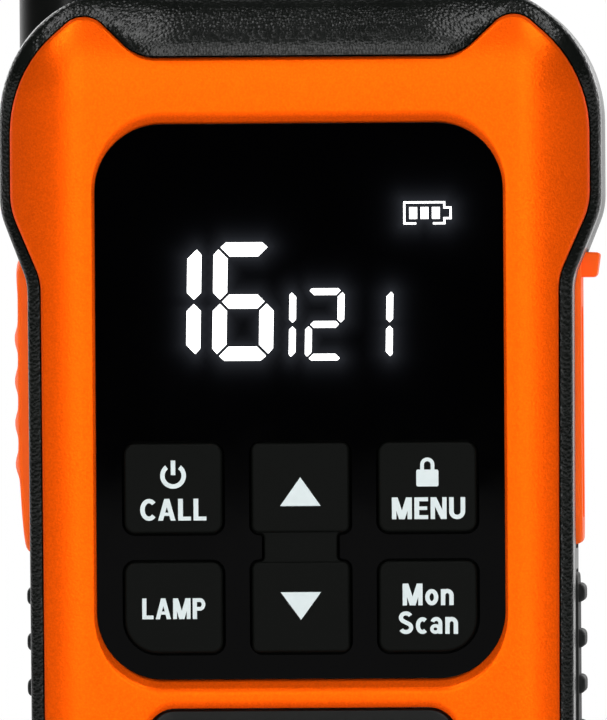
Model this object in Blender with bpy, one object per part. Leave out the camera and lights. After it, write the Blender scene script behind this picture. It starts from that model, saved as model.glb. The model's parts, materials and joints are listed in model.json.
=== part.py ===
"""Handheld two way radio: a sealed orange and black body with a hidden-digit display, keys,
a talk key, a port cover, a belt clip, a battery door and a fixed stub antenna.

Frame: X to the right seen from the front, Y from front to back, Z up along the antenna.
The origin is the centre of the flat base. All sizes below are in millimetres; MM turns
them into Blender's metres when a mesh is made.
"""

import math

import bmesh
import bpy
from mathutils import Matrix, Vector

MM = 0.001
GAP = 0.3  # free space kept between neighbouring pieces

# ---- Driving dimensions of the body ----
BODY_TOP = 118.0
SHOULDER_HALF = 30.5
WAIST_HALF = 27.6
BASE_HALF = 27.3
SHOULDER_Z = 95.3  # where the shoulders start to slope in
WAIST_Z = 88.1  # where the slope reaches the waist
TOP_RADIUS = 13.7
BASE_RADIUS = 11.0

FRONT_Y = -16.2  # flat middle of the orange cover
PARTING_Y = -6.0  # plane where the two housings meet
BACK_Y = 14.5
WALL = 2.0

# The front face is flat in the middle and rolls back towards the sides, the top and the base.
ROLL_START_X = 21.5
ROLL_START_TOP = 107.0
ROLL_START_BASE = 10.0
ROLL_SIDE_RADIUS = 10.5
ROLL_END_RADIUS = 14.0

COVER_THICK = 1.5
HOUSING_DROP = 0.3  # how far the black rim lies below the orange cover's surface
POCKET_DROP = COVER_THICK + GAP
CAVITY_DROP = 3.4

# ---- Front pieces ----
PANEL_HALF = 20.6
PANEL_Z = (47.9, 103.9)
PANEL_RADIUS = 6.7
PANEL_FRONT = -15.4
PANEL_BACK = -14.3
GRILLE_HALF = 15.75
GRILLE_Z = (11.8, 44.8)
GRILLE_RADIUS = 3.0
GRILLE_FRONT = -15.7
GRILLE_BACK = -14.45
SPEAKER_Z = 27.0
SLOT_COUNT = 7
SLOT_PITCH = 3.2
SLOT_HEIGHT = 1.6
SLOT_REACH = 12.4  # the slots' ends lie on a circle of this radius
MIC_Z = 7.4

KEY_HALF_WIDTH = 4.97
KEY_COLUMN = 12.85  # from the middle column to either side column
KEY_TOP_ROW = (62.6, 71.7)
KEY_LOW_ROW = (50.5, 59.7)
KEY_RADIUS = 1.1
KEY_BIG_RADIUS = 3.4  # on the two keys that follow the panel's lower corners
KEY_FRONT = -16.0
NECK_HALF = 3.7  # of the bridge that joins the two ends of the rocker
CORNER_RADIUS = 0.75  # of the rocker's corners beside that bridge
NECK_RADIUS = 0.5  # of the bridge's own corners
FLANGE_WIDTH = 0.55
FLANGE_Y = (-13.6, -12.9)
ROCKER_PIVOT = (0.0, -13.25, 61.1)

# ---- Side pieces: all lie within this depth of the rear housing ----
SIDE_KEY_Y = (-4.0, 8.0)
SIDE_POCKET = 26.6  # distance of the side pockets' floors from the middle plane
TALK_Z = (60.6, 90.7)
TALK_RIB_Z = (82.4, 78.1, 73.8, 69.5)
TALK_INNER = 27.95
TALK_OUTER = 29.4
TALK_THIN_Z = 68.0  # below this the talk key gets thinner
FLAP_Z = (61.8, 90.3)
FLAP_X = (26.9, 28.2)
TAB_Z = (88.3, 90.9)
TAB_X = 30.1
GRIP_Y = (-4.2, 8.2)
GRIP_Z = (12.0, 58.3)
GRIP_OUTER = 27.75
RIB_TOP_Z = 56.2
RIB_PITCH = 4.65
RIB_COUNT = 10
JACK_Z = 82.1
USB_Z = 71.5
PORT_Y = 2.0

# ---- Rear pieces ----
DOOR_HALF = 21.0
DOOR_Z = (5.6, 58.7)
DOOR_RADIUS = 4.0
DOOR_INNER = 13.0
BAY_HALF = 19.1
BAY_Z = (12.5, 57.0)
BAY_FLOOR = 2.7
BATTERY_Z = (15.2, 54.7)
BATTERY_Y = (3.0, 12.4)
LOCK_Z = 10.2
LOCK_RADIUS = 3.7
SCREW_PLACES = ((-22.8, 93.0), (22.8, 93.0), (-24.0, 10.5), (24.0, 10.5))
SCREW_HEAD_Y = (10.1, 11.7)
CLIP_SCREW_PLACES = ((-5.5, 90.0), (5.5, 90.0))
CLIP_PIN_Y = 18.9
CLIP_PIN_Z = 98.0
CLIP_HALF = 7.6
CLIP_PLATE_Y = (14.8, 16.2)

# ---- Top pieces ----
ANTENNA_X = -23.4
ANTENNA_Y = 3.0
ANTENNA_RADIUS = 5.7
ANTENNA_BASE_Z = 103.0
ANTENNA_TIP_Z = 190.0
LAMP_X = 5.0
LAMP_Y = 2.0
LAMP_RADIUS = 5.0

# ---- Boards ----
BOARD_HALF = 19.2
MAIN_BOARD_Y = (-4.2, -3.2)
FRONT_BOARD_Y = (-10.2, -9.2)

# Colour (linear RGB), metallic and roughness of each material.
FINISHES = {
    "orange": ((0.93, 0.17, 0.008), 0.0, 0.38),
    "signal_rubber": ((0.95, 0.075, 0.012), 0.0, 0.55),
    "black_shell": ((0.022, 0.026, 0.025), 0.0, 0.55),
    "black_gloss": ((0.002, 0.002, 0.003), 0.0, 0.08),
    "key_rubber": ((0.012, 0.014, 0.013), 0.0, 0.6),
    "grip_rubber": ((0.02, 0.023, 0.023), 0.0, 0.7),
    "board": ((0.015, 0.09, 0.04), 0.0, 0.5),
    "steel": ((0.55, 0.56, 0.58), 1.0, 0.3),
    "brass": ((0.7, 0.48, 0.16), 1.0, 0.3),
    "dark_resin": ((0.03, 0.03, 0.032), 0.0, 0.4),
    "clear": ((0.85, 0.88, 0.9), 0.0, 0.05),
    "mirror": ((0.85, 0.85, 0.86), 1.0, 0.08),
    "amber": ((0.9, 0.75, 0.2), 0.0, 0.3),
    "battery_wrap": ((0.05, 0.09, 0.2), 0.0, 0.4),
    "seal_rubber": ((0.1, 0.1, 0.11), 0.0, 0.75),
    "cone_paper": ((0.05, 0.05, 0.05), 0.0, 0.85),
}


# ---- Outlines: closed lists of (u, v) points ----


def rounded(corners, step=22.5):
    """An outline through corners given as (u, v, radius), with each corner turned into an arc."""
    points = []
    for i, (u, v, radius) in enumerate(corners):
        here = Vector((u, v))
        before = (Vector(corners[i - 1][:2]) - here).normalized()
        after = (Vector(corners[(i + 1) % len(corners)][:2]) - here).normalized()
        turn = math.pi - before.angle(after)
        if radius == 0 or turn < 0.001:
            points.append(here)
            continue
        centre = here + (before + after).normalized() * radius / math.cos(turn / 2)
        first = here + before * radius * math.tan(turn / 2) - centre
        last = here + after * radius * math.tan(turn / 2) - centre
        side = math.copysign(turn, first.x * last.y - first.y * last.x)
        steps = max(1, round(math.degrees(turn) / step))
        for k in range(steps + 1):
            angle = side * k / steps
            points.append(
                centre
                + Vector(
                    (
                        first.x * math.cos(angle) - first.y * math.sin(angle),
                        first.x * math.sin(angle) + first.y * math.cos(angle),
                    )
                )
            )
    return points


def mirrored(half):
    """The corners of a shape that is symmetric about u = 0, from its right half, top to bottom."""
    return half + [(-u, v, radius) for u, v, radius in reversed(half)]


def rectangle(u0, u1, v0, v1, radius=0.0, step=22.5):
    """A rectangle's outline; radius is one number, or four, from the lower left round to the upper left."""
    radii = radius if isinstance(radius, tuple) else (radius,) * 4
    places = ((u0, v0), (u1, v0), (u1, v1), (u0, v1))
    return rounded([(u, v, r) for (u, v), r in zip(places, radii)], step)


def circle(u, v, radius, sides=20):
    turns = [2 * math.pi * (k + 0.5) / sides for k in range(sides)]
    return [Vector((u + radius * math.cos(t), v + radius * math.sin(t))) for t in turns]


def inset(outline, distance):
    """The outline moved inwards by a distance, or outwards by a negative one, point for point."""
    if distance == 0:
        return outline
    area = sum(a.x * b.y - a.y * b.x for a, b in zip(outline, outline[1:] + outline[:1]))
    inward = 1 if area > 0 else -1
    moved = []
    for i, here in enumerate(outline):
        before = (here - outline[i - 1]).normalized()
        after = (outline[(i + 1) % len(outline)] - here).normalized()
        normal = Vector((-before.y - after.y, before.x + after.x)).normalized() * inward
        flat = Vector((-after.y, after.x)) * inward
        moved.append(here + normal * distance / max(0.2, normal.dot(flat)))
    return moved


BODY_OUTLINE = rounded(
    mirrored(
        [
            (SHOULDER_HALF, BODY_TOP, TOP_RADIUS),
            (SHOULDER_HALF, SHOULDER_Z, 7.0),
            (WAIST_HALF, WAIST_Z, 6.0),
            (BASE_HALF, 0.0, BASE_RADIUS),
        ]
    ),
    step=15.0,
)

COVER_OUTLINE = rounded(
    mirrored(
        [
            (16.3, 110.7, 4.9),
            (20.7, 114.9, 2.6),
            (22.8, 114.9, 2.6),
            (29.35, 109.0, 13.5),
            (29.35, 95.5, 7.4),
            (26.2, 88.3, 6.0),
            (25.9, 3.2, 9.6),
        ]
    ),
    step=18.0,
)

PANEL_OUTLINE = rectangle(-PANEL_HALF, PANEL_HALF, *PANEL_Z, PANEL_RADIUS)
GRILLE_OUTLINE = rectangle(-GRILLE_HALF, GRILLE_HALF, *GRILLE_Z, GRILLE_RADIUS)
DOOR_OUTLINE = rectangle(-DOOR_HALF, DOOR_HALF, *DOOR_Z, DOOR_RADIUS)


def key_outline(column, row, radii):
    """A key's outline; column is -1, 0 or 1, and radii go from the lower left round to the upper left."""
    middle = column * KEY_COLUMN
    return rectangle(middle - KEY_HALF_WIDTH, middle + KEY_HALF_WIDTH, *row, radii, step=30.0)


def rocker_outline():
    """Two key shapes, one above the other, joined by a narrower neck."""
    low_edge, high_edge = KEY_LOW_ROW[1], KEY_TOP_ROW[0]
    half = [
        (KEY_HALF_WIDTH, KEY_TOP_ROW[1], KEY_RADIUS),
        (KEY_HALF_WIDTH, high_edge, CORNER_RADIUS),
        (NECK_HALF, high_edge, NECK_RADIUS),
        (NECK_HALF, low_edge, NECK_RADIUS),
        (KEY_HALF_WIDTH, low_edge, CORNER_RADIUS),
        (KEY_HALF_WIDTH, KEY_LOW_ROW[0], KEY_RADIUS),
    ]
    return rounded(mirrored(half), step=30.0)


KEY_OUTLINES = {
    "call_key": key_outline(-1, KEY_TOP_ROW, (KEY_RADIUS,) * 4),
    "menu_key": key_outline(1, KEY_TOP_ROW, (KEY_RADIUS,) * 4),
    "lamp_key": key_outline(-1, KEY_LOW_ROW, (KEY_BIG_RADIUS, KEY_RADIUS, KEY_RADIUS, KEY_RADIUS)),
    "scan_key": key_outline(1, KEY_LOW_ROW, (KEY_RADIUS, KEY_BIG_RADIUS, KEY_RADIUS, KEY_RADIUS)),
    "channel_rocker": rocker_outline(),
}


# ---- Solids ----


def placed(u, v, along, axis):
    """A point in metres, from an outline's (u, v) and its place along the axis that it is swept on."""
    order = {"X": (along, u, v), "Y": (u, along, v), "Z": (u, v, along)}[axis]
    return Vector(order) * MM


def stored(name, bm):
    """A new object in the scene that holds this mesh, with its faces turned outwards."""
    bmesh.ops.recalc_face_normals(bm, faces=bm.faces)
    mesh = bpy.data.meshes.new(name)
    bm.to_mesh(mesh)
    bm.free()
    obj = bpy.data.objects.new(name, mesh)
    bpy.context.scene.collection.objects.link(obj)
    return obj


def stack(outline, rings, axis="Y"):
    """A closed solid swept along an axis. Each ring is (place along the axis, inset of the outline)."""
    bm = bmesh.new()
    loops = []
    for along, inward in rings:
        loops.append([bm.verts.new(placed(p.x, p.y, along, axis)) for p in inset(outline, inward)])
    for low, high in zip(loops, loops[1:]):
        for k in range(len(outline)):
            bm.faces.new((low[k - 1], low[k], high[k], high[k - 1]))
    bm.faces.new(loops[0])
    bm.faces.new(loops[-1])
    return stored("shape", bm)


def slab(outline, start, end, axis="Y"):
    return stack(outline, [(start, 0.0), (end, 0.0)], axis)


def block(x, y, z):
    """A plain box from three (low, high) pairs."""
    return slab(rectangle(*x, *z), *y)


def rod(axis, centre, radius, start, end, sides=16):
    """A round rod; centre is its (u, v) place in the plane across the axis."""
    return slab(circle(*centre, radius, sides), start, end, axis)


def wire(points, radius, bevel_resolution):
    """A round wire through a list of points in millimetres, with capped ends."""
    curve = bpy.data.curves.new("wire", "CURVE")
    curve.dimensions = "3D"
    curve.bevel_depth = radius * MM
    curve.bevel_resolution = bevel_resolution
    curve.use_fill_caps = True
    spline = curve.splines.new("POLY")
    spline.points.add(len(points) - 1)
    for slot, point in zip(spline.points, points):
        slot.co = (*(point * MM), 1.0)
    guide = bpy.data.objects.new("wire", curve)
    bm = bmesh.new()
    bm.from_mesh(guide.to_mesh())
    bmesh.ops.remove_doubles(bm, verts=bm.verts, dist=0.00001)  # joins the caps to the tube
    bpy.data.objects.remove(guide)
    return stored("wire", bm)


def combine(operation, target, others, solver):
    """Applies a Boolean between the target and each of the others, which are used up."""
    for other in others:
        modifier = target.modifiers.new("combine", "BOOLEAN")
        modifier.operation = operation
        modifier.solver = solver
        modifier.object = other
        graph = bpy.context.evaluated_depsgraph_get()
        mesh = bpy.data.meshes.new_from_object(target.evaluated_get(graph))
        target.modifiers.clear()
        target.data = mesh
        bpy.data.objects.remove(other)
    return target


def carve(target, *others, solver="EXACT"):
    return combine("DIFFERENCE", target, others, solver)


def fuse(target, *others, solver="EXACT"):
    return combine("UNION", target, others, solver)


def common(target, *others, solver="EXACT"):
    return combine("INTERSECT", target, others, solver)


def material_named(finish_name):
    """The finish's material, made the first time that a piece asks for it."""
    material = bpy.data.materials.get(finish_name)
    if material is None:
        colour, metallic, roughness = FINISHES[finish_name]
        material = bpy.data.materials.new(finish_name)
        material.use_nodes = True
        shader = material.node_tree.nodes["Principled BSDF"]
        shader.inputs["Base Color"].default_value = (*colour, 1.0)
        shader.inputs["Metallic"].default_value = metallic
        shader.inputs["Roughness"].default_value = roughness
    return material


def finish(name, obj, finish_name, pivot=None):
    """Names a finished piece, gives it its material and puts its origin on its pivot or in its middle."""
    mesh = obj.data
    obj.name = mesh.name = name
    spans = [[vertex.co[k] for vertex in mesh.vertices] for k in range(3)]
    origin = Vector(pivot) * MM if pivot else Vector([(min(s) + max(s)) / 2 for s in spans])
    mesh.transform(Matrix.Translation(-origin))
    obj.location = origin
    mesh.materials.clear()
    mesh.materials.append(material_named(finish_name))
    mesh.shade_smooth()
    mesh.set_sharp_from_angle(angle=math.radians(32))
    return obj


def hang(child, parent):
    """Makes a piece follow another one, without moving it."""
    child.parent = parent
    child.location -= parent.location


def rolled(distance, radius):
    """How far a quarter-round roll of this radius has fallen, at a distance past its start."""
    distance = max(0.0, distance)
    return radius - math.sqrt(radius * radius - distance * distance)


def front_depth(x, z):
    """The y of the orange cover's surface, as if it ran over the whole front."""
    side = rolled(abs(x) - ROLL_START_X, ROLL_SIDE_RADIUS)
    top = rolled(z - ROLL_START_TOP, ROLL_END_RADIUS)
    base = rolled(ROLL_START_BASE - z, ROLL_END_RADIUS)
    return FRONT_Y + side + top + base


def crown(drop, back=8.0):
    """A solid whose front is the rolled front surface, moved back by drop."""
    edge = [ROLL_START_X + 2.0 * k for k in range(6)]
    columns = [-x for x in reversed(edge)] + edge
    rows = [-1.5, 1.5, 4.5, 7.5, 10.0, 107.0, 109.5, 112.0, 114.5, 117.0, 119.5]
    bm = bmesh.new()
    grid = [[bm.verts.new(Vector((x, front_depth(x, z) + drop, z)) * MM) for x in columns] for z in rows]
    for low, high in zip(grid, grid[1:]):
        for k in range(len(columns) - 1):
            bm.faces.new((low[k], low[k + 1], high[k + 1]))
            bm.faces.new((low[k], high[k + 1], high[k]))
    extruded = bmesh.ops.extrude_face_region(bm, geom=bm.faces[:])["geom"]
    for item in extruded:
        if isinstance(item, bmesh.types.BMVert):
            item.co.y = back * MM
    return stored("crown", bm)


# ---- Front of the body ----


def make_front_cover():
    cover = common(slab(COVER_OUTLINE, -20.0, -5.0), crown(0.0))
    carve(cover, crown(COVER_THICK))
    carve(cover, slab(inset(PANEL_OUTLINE, -GAP), -20.0, -5.0))
    carve(cover, slab(inset(GRILLE_OUTLINE, -GAP), -20.0, -5.0))
    carve(cover, rod("Y", (0.0, MIC_Z), 0.6, -20.0, -5.0, 8))
    finish("front_cover", cover, "orange")


def make_front_housing():
    housing = common(slab(BODY_OUTLINE, -20.0, PARTING_Y - GAP / 2), crown(HOUSING_DROP))
    carve(housing, carve(slab(inset(COVER_OUTLINE, -GAP), -20.0, -4.0), crown(POCKET_DROP)))
    carve(housing, common(slab(inset(BODY_OUTLINE, WALL), -20.0, -5.0), crown(CAVITY_DROP)))
    carve(housing, slab(inset(PANEL_OUTLINE, -GAP), -20.0, PANEL_BACK + GAP))
    carve(housing, slab(inset(GRILLE_OUTLINE, -GAP), -20.0, GRILLE_BACK + GAP))
    carve(housing, slab(inset(PANEL_OUTLINE, 1.5), -20.0, -10.0))
    carve(housing, rod("Y", (0.0, SPEAKER_Z), 12.6, -20.0, -10.0, 24))
    carve(housing, rod("Y", (0.0, MIC_Z), 0.8, -20.0, -10.0, 8))
    for place in SCREW_PLACES:
        fuse(housing, rod("Y", place, 2.7, -13.0, PARTING_Y - GAP / 2 - 0.2, 12))
        carve(housing, rod("Y", place, 1.3, -11.0, -4.0, 10))
    finish("front_housing", housing, "black_shell")


def make_display_panel():
    panel = stack(PANEL_OUTLINE, [(PANEL_FRONT, 0.3), (PANEL_FRONT + 0.3, 0.0), (PANEL_BACK, 0.0)])
    for outline in KEY_OUTLINES.values():
        carve(panel, slab(inset(outline, -GAP), -20.0, -10.0))
    finish("display_panel", panel, "black_gloss")


def make_keys():
    """Each key's cap stands through the panel, and its flange stays behind it."""
    for name, outline in KEY_OUTLINES.items():
        cap = stack(outline, [(KEY_FRONT, 0.35), (KEY_FRONT + 0.35, 0.0), (FLANGE_Y[0] + 0.2, 0.0)])
        flange = slab(inset(outline, -FLANGE_WIDTH), *FLANGE_Y)
        pivot = ROCKER_PIVOT if name == "channel_rocker" else None
        finish(name, fuse(cap, flange), "key_rubber", pivot)


def make_key_layers():
    """The silicone mat, the sheet of snap domes and the board that they press on."""
    area = rectangle(-18.0, 18.0, 49.9, 72.6, 2.0)
    mat = slab(area, -11.9, -11.2)
    dome_places = [(c * KEY_COLUMN, sum(row) / 2) for c in (-1, 0, 1) for row in (KEY_TOP_ROW, KEY_LOW_ROW)]
    for place in dome_places:
        fuse(mat, rod("Y", place, 1.3, -11.4, -11.05, 8))
    finish("keypad_mat", mat, "key_rubber")
    sheet = slab(area, -10.65, -10.5)
    for place in dome_places:
        fuse(sheet, stack(circle(*place, 2.4, 10), [(-10.8, 1.3), (-10.55, 0.0)]))
    finish("dome_sheet", sheet, "amber")
    finish("front_board", slab(rectangle(-19.0, 19.0, 49.3, 102.0, 1.5), *FRONT_BOARD_Y), "board")


def make_display():
    module = slab(rectangle(-17.3, 17.3, 73.2, 100.4, 1.0), -13.6, -10.5)
    finish("display_module", module, "dark_resin")


def make_speaker():
    grille = stack(GRILLE_OUTLINE, [(GRILLE_FRONT, 0.3), (GRILLE_FRONT + 0.3, 0.0), (GRILLE_BACK, 0.0)])
    for k in range(SLOT_COUNT):
        rise = (k - (SLOT_COUNT - 1) / 2) * SLOT_PITCH
        half = math.sqrt(SLOT_REACH**2 - rise**2)
        z = SPEAKER_Z + rise
        slot = rectangle(-half, half, z - SLOT_HEIGHT / 2, z + SLOT_HEIGHT / 2, SLOT_HEIGHT * 0.49, 45.0)
        carve(grille, slab(slot, -20.0, -10.0))
    finish("speaker_grille", grille, "black_shell")
    middle = (0.0, SPEAKER_Z)
    finish("speaker_mesh", rod("Y", middle, 13.4, -12.45, -12.15, 24), "cone_paper")
    frame = carve(rod("Y", middle, 14.2, -11.8, -8.2, 24), rod("Y", middle, 12.9, -13.0, -8.9, 24))
    carve(frame, rod("Y", middle, 7.4, -13.0, -5.0, 20))
    finish("speaker_frame", frame, "steel")
    rings = [(-9.7, 9.0), (-11.4, 0.4), (-11.4, 0.0), (-11.1, 0.0), (-9.35, 9.0)]
    finish("speaker_cone", stack(circle(*middle, 12.5, 24), rings), "cone_paper")
    magnet = stack(circle(*middle, 7.0), [(-8.6, 0.0), (-5.5, 0.0), (-5.1, 0.4)])
    finish("speaker_magnet", magnet, "steel")


def make_microphone():
    middle = (0.0, MIC_Z)
    boot = carve(rod("Y", middle, 2.7, -11.4, -9.0), rod("Y", middle, 2.15, -11.0, -8.0))
    carve(boot, rod("Y", middle, 0.7, -12.0, -10.0, 8))
    finish("microphone_boot", boot, "seal_rubber")
    finish("microphone", rod("Y", middle, 1.85, -10.7, -9.2), "brass")


# ---- Boards inside ----


def make_boards():
    finish("main_board", slab(rectangle(-BOARD_HALF, BOARD_HALF, 6.0, 102.5, 2.0), *MAIN_BOARD_Y), "board")
    finish("shield_can", slab(rectangle(-14.0, 10.0, 64.0, 86.0, 1.0), -2.9, -0.7), "steel")
    finish("radio_chip", block((-5.0, 5.0), (-2.9, -1.9), (46.0, 56.0)), "dark_resin")
    finish("crystal", slab(rectangle(8.5, 12.5, 44.0, 54.5, 1.9), -2.9, -0.9), "steel")
    finish("board_link", block((-7.0, 7.0), (-8.9, -4.5), (57.0, 60.5)), "dark_resin")
    finish("ptt_board", block((-21.0, -20.3), (-1.0, 5.0), (70.0, 84.0)), "board")
    switch = block((-22.6, -21.3), (0.2, 3.8), (74.0, 80.0))
    fuse(switch, rod("X", (2.0, 77.0), 1.1, -23.3, -22.4, 12))
    finish("ptt_switch", switch, "dark_resin")
    finish("port_board", block((16.5, 25.2), (5.3, 6.1), (65.0, 87.0)), "board")


def make_ports():
    jack = slab(rectangle(-1.0, 5.0, 79.0, 85.2, 0.6), 17.5, 25.3, "X")
    carve(jack, rod("X", (PORT_Y, JACK_Z), 1.75, 18.5, 27.0, 20))
    finish("audio_jack", jack, "dark_resin")
    shell = slab(rectangle(0.35, 3.65, USB_Z - 4.6, USB_Z + 4.6, 1.55, 22.5), 18.2, 25.3, "X")
    carve(shell, slab(rectangle(0.7, 3.3, USB_Z - 4.25, USB_Z + 4.25, 1.2, 22.5), 19.2, 27.0, "X"))
    fuse(shell, block((18.8, 24.7), (1.65, 2.35), (USB_Z - 3.2, USB_Z + 3.2)))
    finish("usb_socket", shell, "steel")


# ---- Rear of the body ----

REAR_ROLL = [(8.5, 0.0), (11.4, 0.8), (13.5, 2.8), (BACK_Y, 5.2)]


def side_pocket(side, y, z, floor, radius):
    """A rounded pocket cut into a side wall, open outwards; side is -1 or 1."""
    outline = rectangle(y[0] - GAP, y[1] + GAP, z[0] - GAP, z[1] + GAP, radius + GAP)
    return slab(outline, side * floor, side * 35.0, "X")


def make_rear_housing():
    """The rear shell, hollowed, then given its bosses, then drilled."""
    housing = stack(BODY_OUTLINE, [(PARTING_Y + GAP / 2, 0.0)] + REAR_ROLL)
    upper = stack(inset(BODY_OUTLINE, WALL), [(-8.0, 0.0), (8.5, 0.0), (11.0, 0.9), (12.7, 2.6)])
    hollows = [
        slab(inset(BODY_OUTLINE, WALL), -8.0, 1.2),
        common(upper, block((-40.0, 40.0), (-20.0, 30.0), (60.7, 130.0))),
        block((-25.0, -21.8), (0.0, 10.5), (16.5, 57.0)),
        block((21.8, 25.0), (0.0, 10.5), (16.5, 57.0)),
    ]
    bosses = [rod("Y", place, 2.8, 9.5, 13.0, 12) for place in CLIP_SCREW_PLACES]
    for x, z in SCREW_PLACES:
        bosses.append(rod("Y", (x, z), 3.0, PARTING_Y + GAP / 2, 12.8 if z > 60.0 else 2.0, 12))
    carve(housing, *hollows, *outer_openings(), solver="MANIFOLD")
    fuse(housing, *bosses, solver="MANIFOLD")
    holes = [rod("Y", place, 1.3, 10.5, 20.0, 10) for place in CLIP_SCREW_PLACES]
    for place in SCREW_PLACES:
        holes.append(rod("Y", place, 1.3, -8.0, 20.0, 10))
        holes.append(rod("Y", place, 2.3, SCREW_HEAD_Y[0] - GAP, 20.0, 14))
    carve(housing, *holes, solver="MANIFOLD")
    finish("rear_housing", housing, "black_shell")


def outer_openings():
    """The battery bay, the side pockets with their wall holes, the lamp's hole and the antenna's."""
    flap_pocket_z = (FLAP_Z[0] - 0.8, TAB_Z[1])
    return [
        slab(inset(DOOR_OUTLINE, -GAP), DOOR_INNER - 1.2, 20.0),
        slab(rectangle(-BAY_HALF, BAY_HALF, *BAY_Z, 1.5), BAY_FLOOR, 20.0),
        rod("Y", (0.0, LOCK_Z), LOCK_RADIUS + 0.5, 9.0, 20.0, 20),
        side_pocket(-1, SIDE_KEY_Y, TALK_Z, SIDE_POCKET, 5.0),
        slab(rectangle(0.2, 3.8, 74.2, 79.8, 0.8), -30.0, -20.0, "X"),
        side_pocket(1, SIDE_KEY_Y, flap_pocket_z, SIDE_POCKET, 2.5),
        rod("X", (PORT_Y, JACK_Z), 2.2, 20.0, 30.0, 20),
        slab(rectangle(-0.1, 4.1, USB_Z - 5.1, USB_Z + 5.1, 1.9), 20.0, 30.0, "X"),
        side_pocket(-1, GRIP_Y, GRIP_Z, 26.5, 3.0),
        side_pocket(1, GRIP_Y, GRIP_Z, 26.5, 3.0),
        rod("Z", (LAMP_X, LAMP_Y), LAMP_RADIUS + GAP, 110.0, 125.0, 20),
        rod("Z", (ANTENNA_X, ANTENNA_Y), ANTENNA_RADIUS + GAP, 100.0, 125.0, 20),
    ]


def make_seal():
    """The ring between the housings. It passes inside the screw bosses."""
    ring = slab(inset(BODY_OUTLINE, WALL + GAP), -7.4, -4.6)
    middle = slab(inset(BODY_OUTLINE, WALL + GAP + 0.9), -9.0, -3.0)
    for x, z in SCREW_PLACES:
        carve(ring, rod("Y", (x, z), 3.4, -10.0, -2.0, 12))
        carve(middle, rod("Y", (x, z), 4.3, -10.0, -2.0, 12))
    finish("housing_seal", carve(ring, middle), "seal_rubber")


def make_grips():
    for name, side in (("left_grip", -1), ("right_grip", 1)):
        rings = [(side * 26.8, 0.0), (side * 27.5, 0.0), (side * GRIP_OUTER, 0.3)]
        grip = stack(rectangle(*GRIP_Y, *GRIP_Z, 3.0), rings, "X")
        for k in range(RIB_COUNT):
            z = RIB_TOP_Z - k * RIB_PITCH
            rings = [(side * 27.2, 0.0), (side * 28.0, 0.0), (side * 28.4, 0.4)]
            fuse(grip, stack(rectangle(-3.4, 7.4, z - 0.95, z + 0.95, 0.5, 90.0), rings, "X"))
        finish(name, grip, "grip_rubber")


def make_screw(name, place, head_y, tip_y):
    head_low, head_high = head_y
    screw = stack(circle(*place, 1.9, 12), [(head_low, 0.0), (head_high - 0.4, 0.0), (head_high, 0.5)])
    fuse(screw, rod("Y", place, 1.0, tip_y, head_low + 0.2, 8))
    for long, short in ((1.1, 0.25), (0.25, 1.1)):
        x, z = place
        carve(screw, block((x - long, x + long), (head_high - 0.7, head_high + 1), (z - short, z + short)))
    finish(name, screw, "steel")


def make_screws():
    for number, place in enumerate(SCREW_PLACES, 1):
        make_screw(f"housing_screw_{number}", place, SCREW_HEAD_Y, -9.5)
    clip_head = (CLIP_PLATE_Y[1] + GAP, CLIP_PLATE_Y[1] + 1.5)
    for name, place in zip(("clip_screw_left", "clip_screw_right"), CLIP_SCREW_PLACES):
        make_screw(name, place, clip_head, 11.0)


# ---- Battery ----


def make_battery():
    rings = [(BATTERY_Y[0], 0.8), (BATTERY_Y[0] + 0.8, 0.0), (BATTERY_Y[1] - 0.8, 0.0), (BATTERY_Y[1], 0.8)]
    finish("battery_pack", stack(rectangle(-18.8, 18.8, *BATTERY_Z, 1.6), rings), "battery_wrap")
    for name, x in (("battery_contact_left", -10.0), ("battery_contact_right", 10.0)):
        spring = rounded([(6.0, 56.7, 0), (10.0, 56.7, 0), (10.0, 56.3, 0), (8.0, 55.1, 0), (6.0, 56.3, 0)])
        finish(name, slab(spring, x - 1.6, x + 1.6, "X"), "brass")


def make_battery_door():
    door = stack(DOOR_OUTLINE, [(DOOR_INNER, 0.0), (BACK_Y - 0.4, 0.0), (BACK_Y, 0.5)])
    carve(door, rod("Y", (0.0, LOCK_Z), LOCK_RADIUS + GAP, 10.0, 20.0, 20))
    finish("battery_door", door, "black_shell")
    seal = slab(inset(DOOR_OUTLINE, GAP), 12.1, 12.7)
    carve(seal, slab(inset(DOOR_OUTLINE, 1.3), 10.0, 14.0))
    hang(finish("door_seal", seal, "seal_rubber"), door)
    middle = (0.0, LOCK_Z)
    lock = stack(circle(*middle, LOCK_RADIUS), [(13.1, 0.0), (14.3, 0.0), (14.6, 0.35)])
    fuse(lock, rod("Y", middle, 1.5, 10.4, 13.3, 16))
    fuse(lock, block((-3.3, 3.3), (10.0, 11.2), (LOCK_Z - 1.1, LOCK_Z + 1.1)))
    carve(lock, block((-2.8, 2.8), (13.8, 16.0), (LOCK_Z - 0.55, LOCK_Z + 0.55)))
    hang(finish("door_lock", lock, "steel", (0.0, DOOR_INNER, LOCK_Z)), door)


# ---- Belt clip ----


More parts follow.
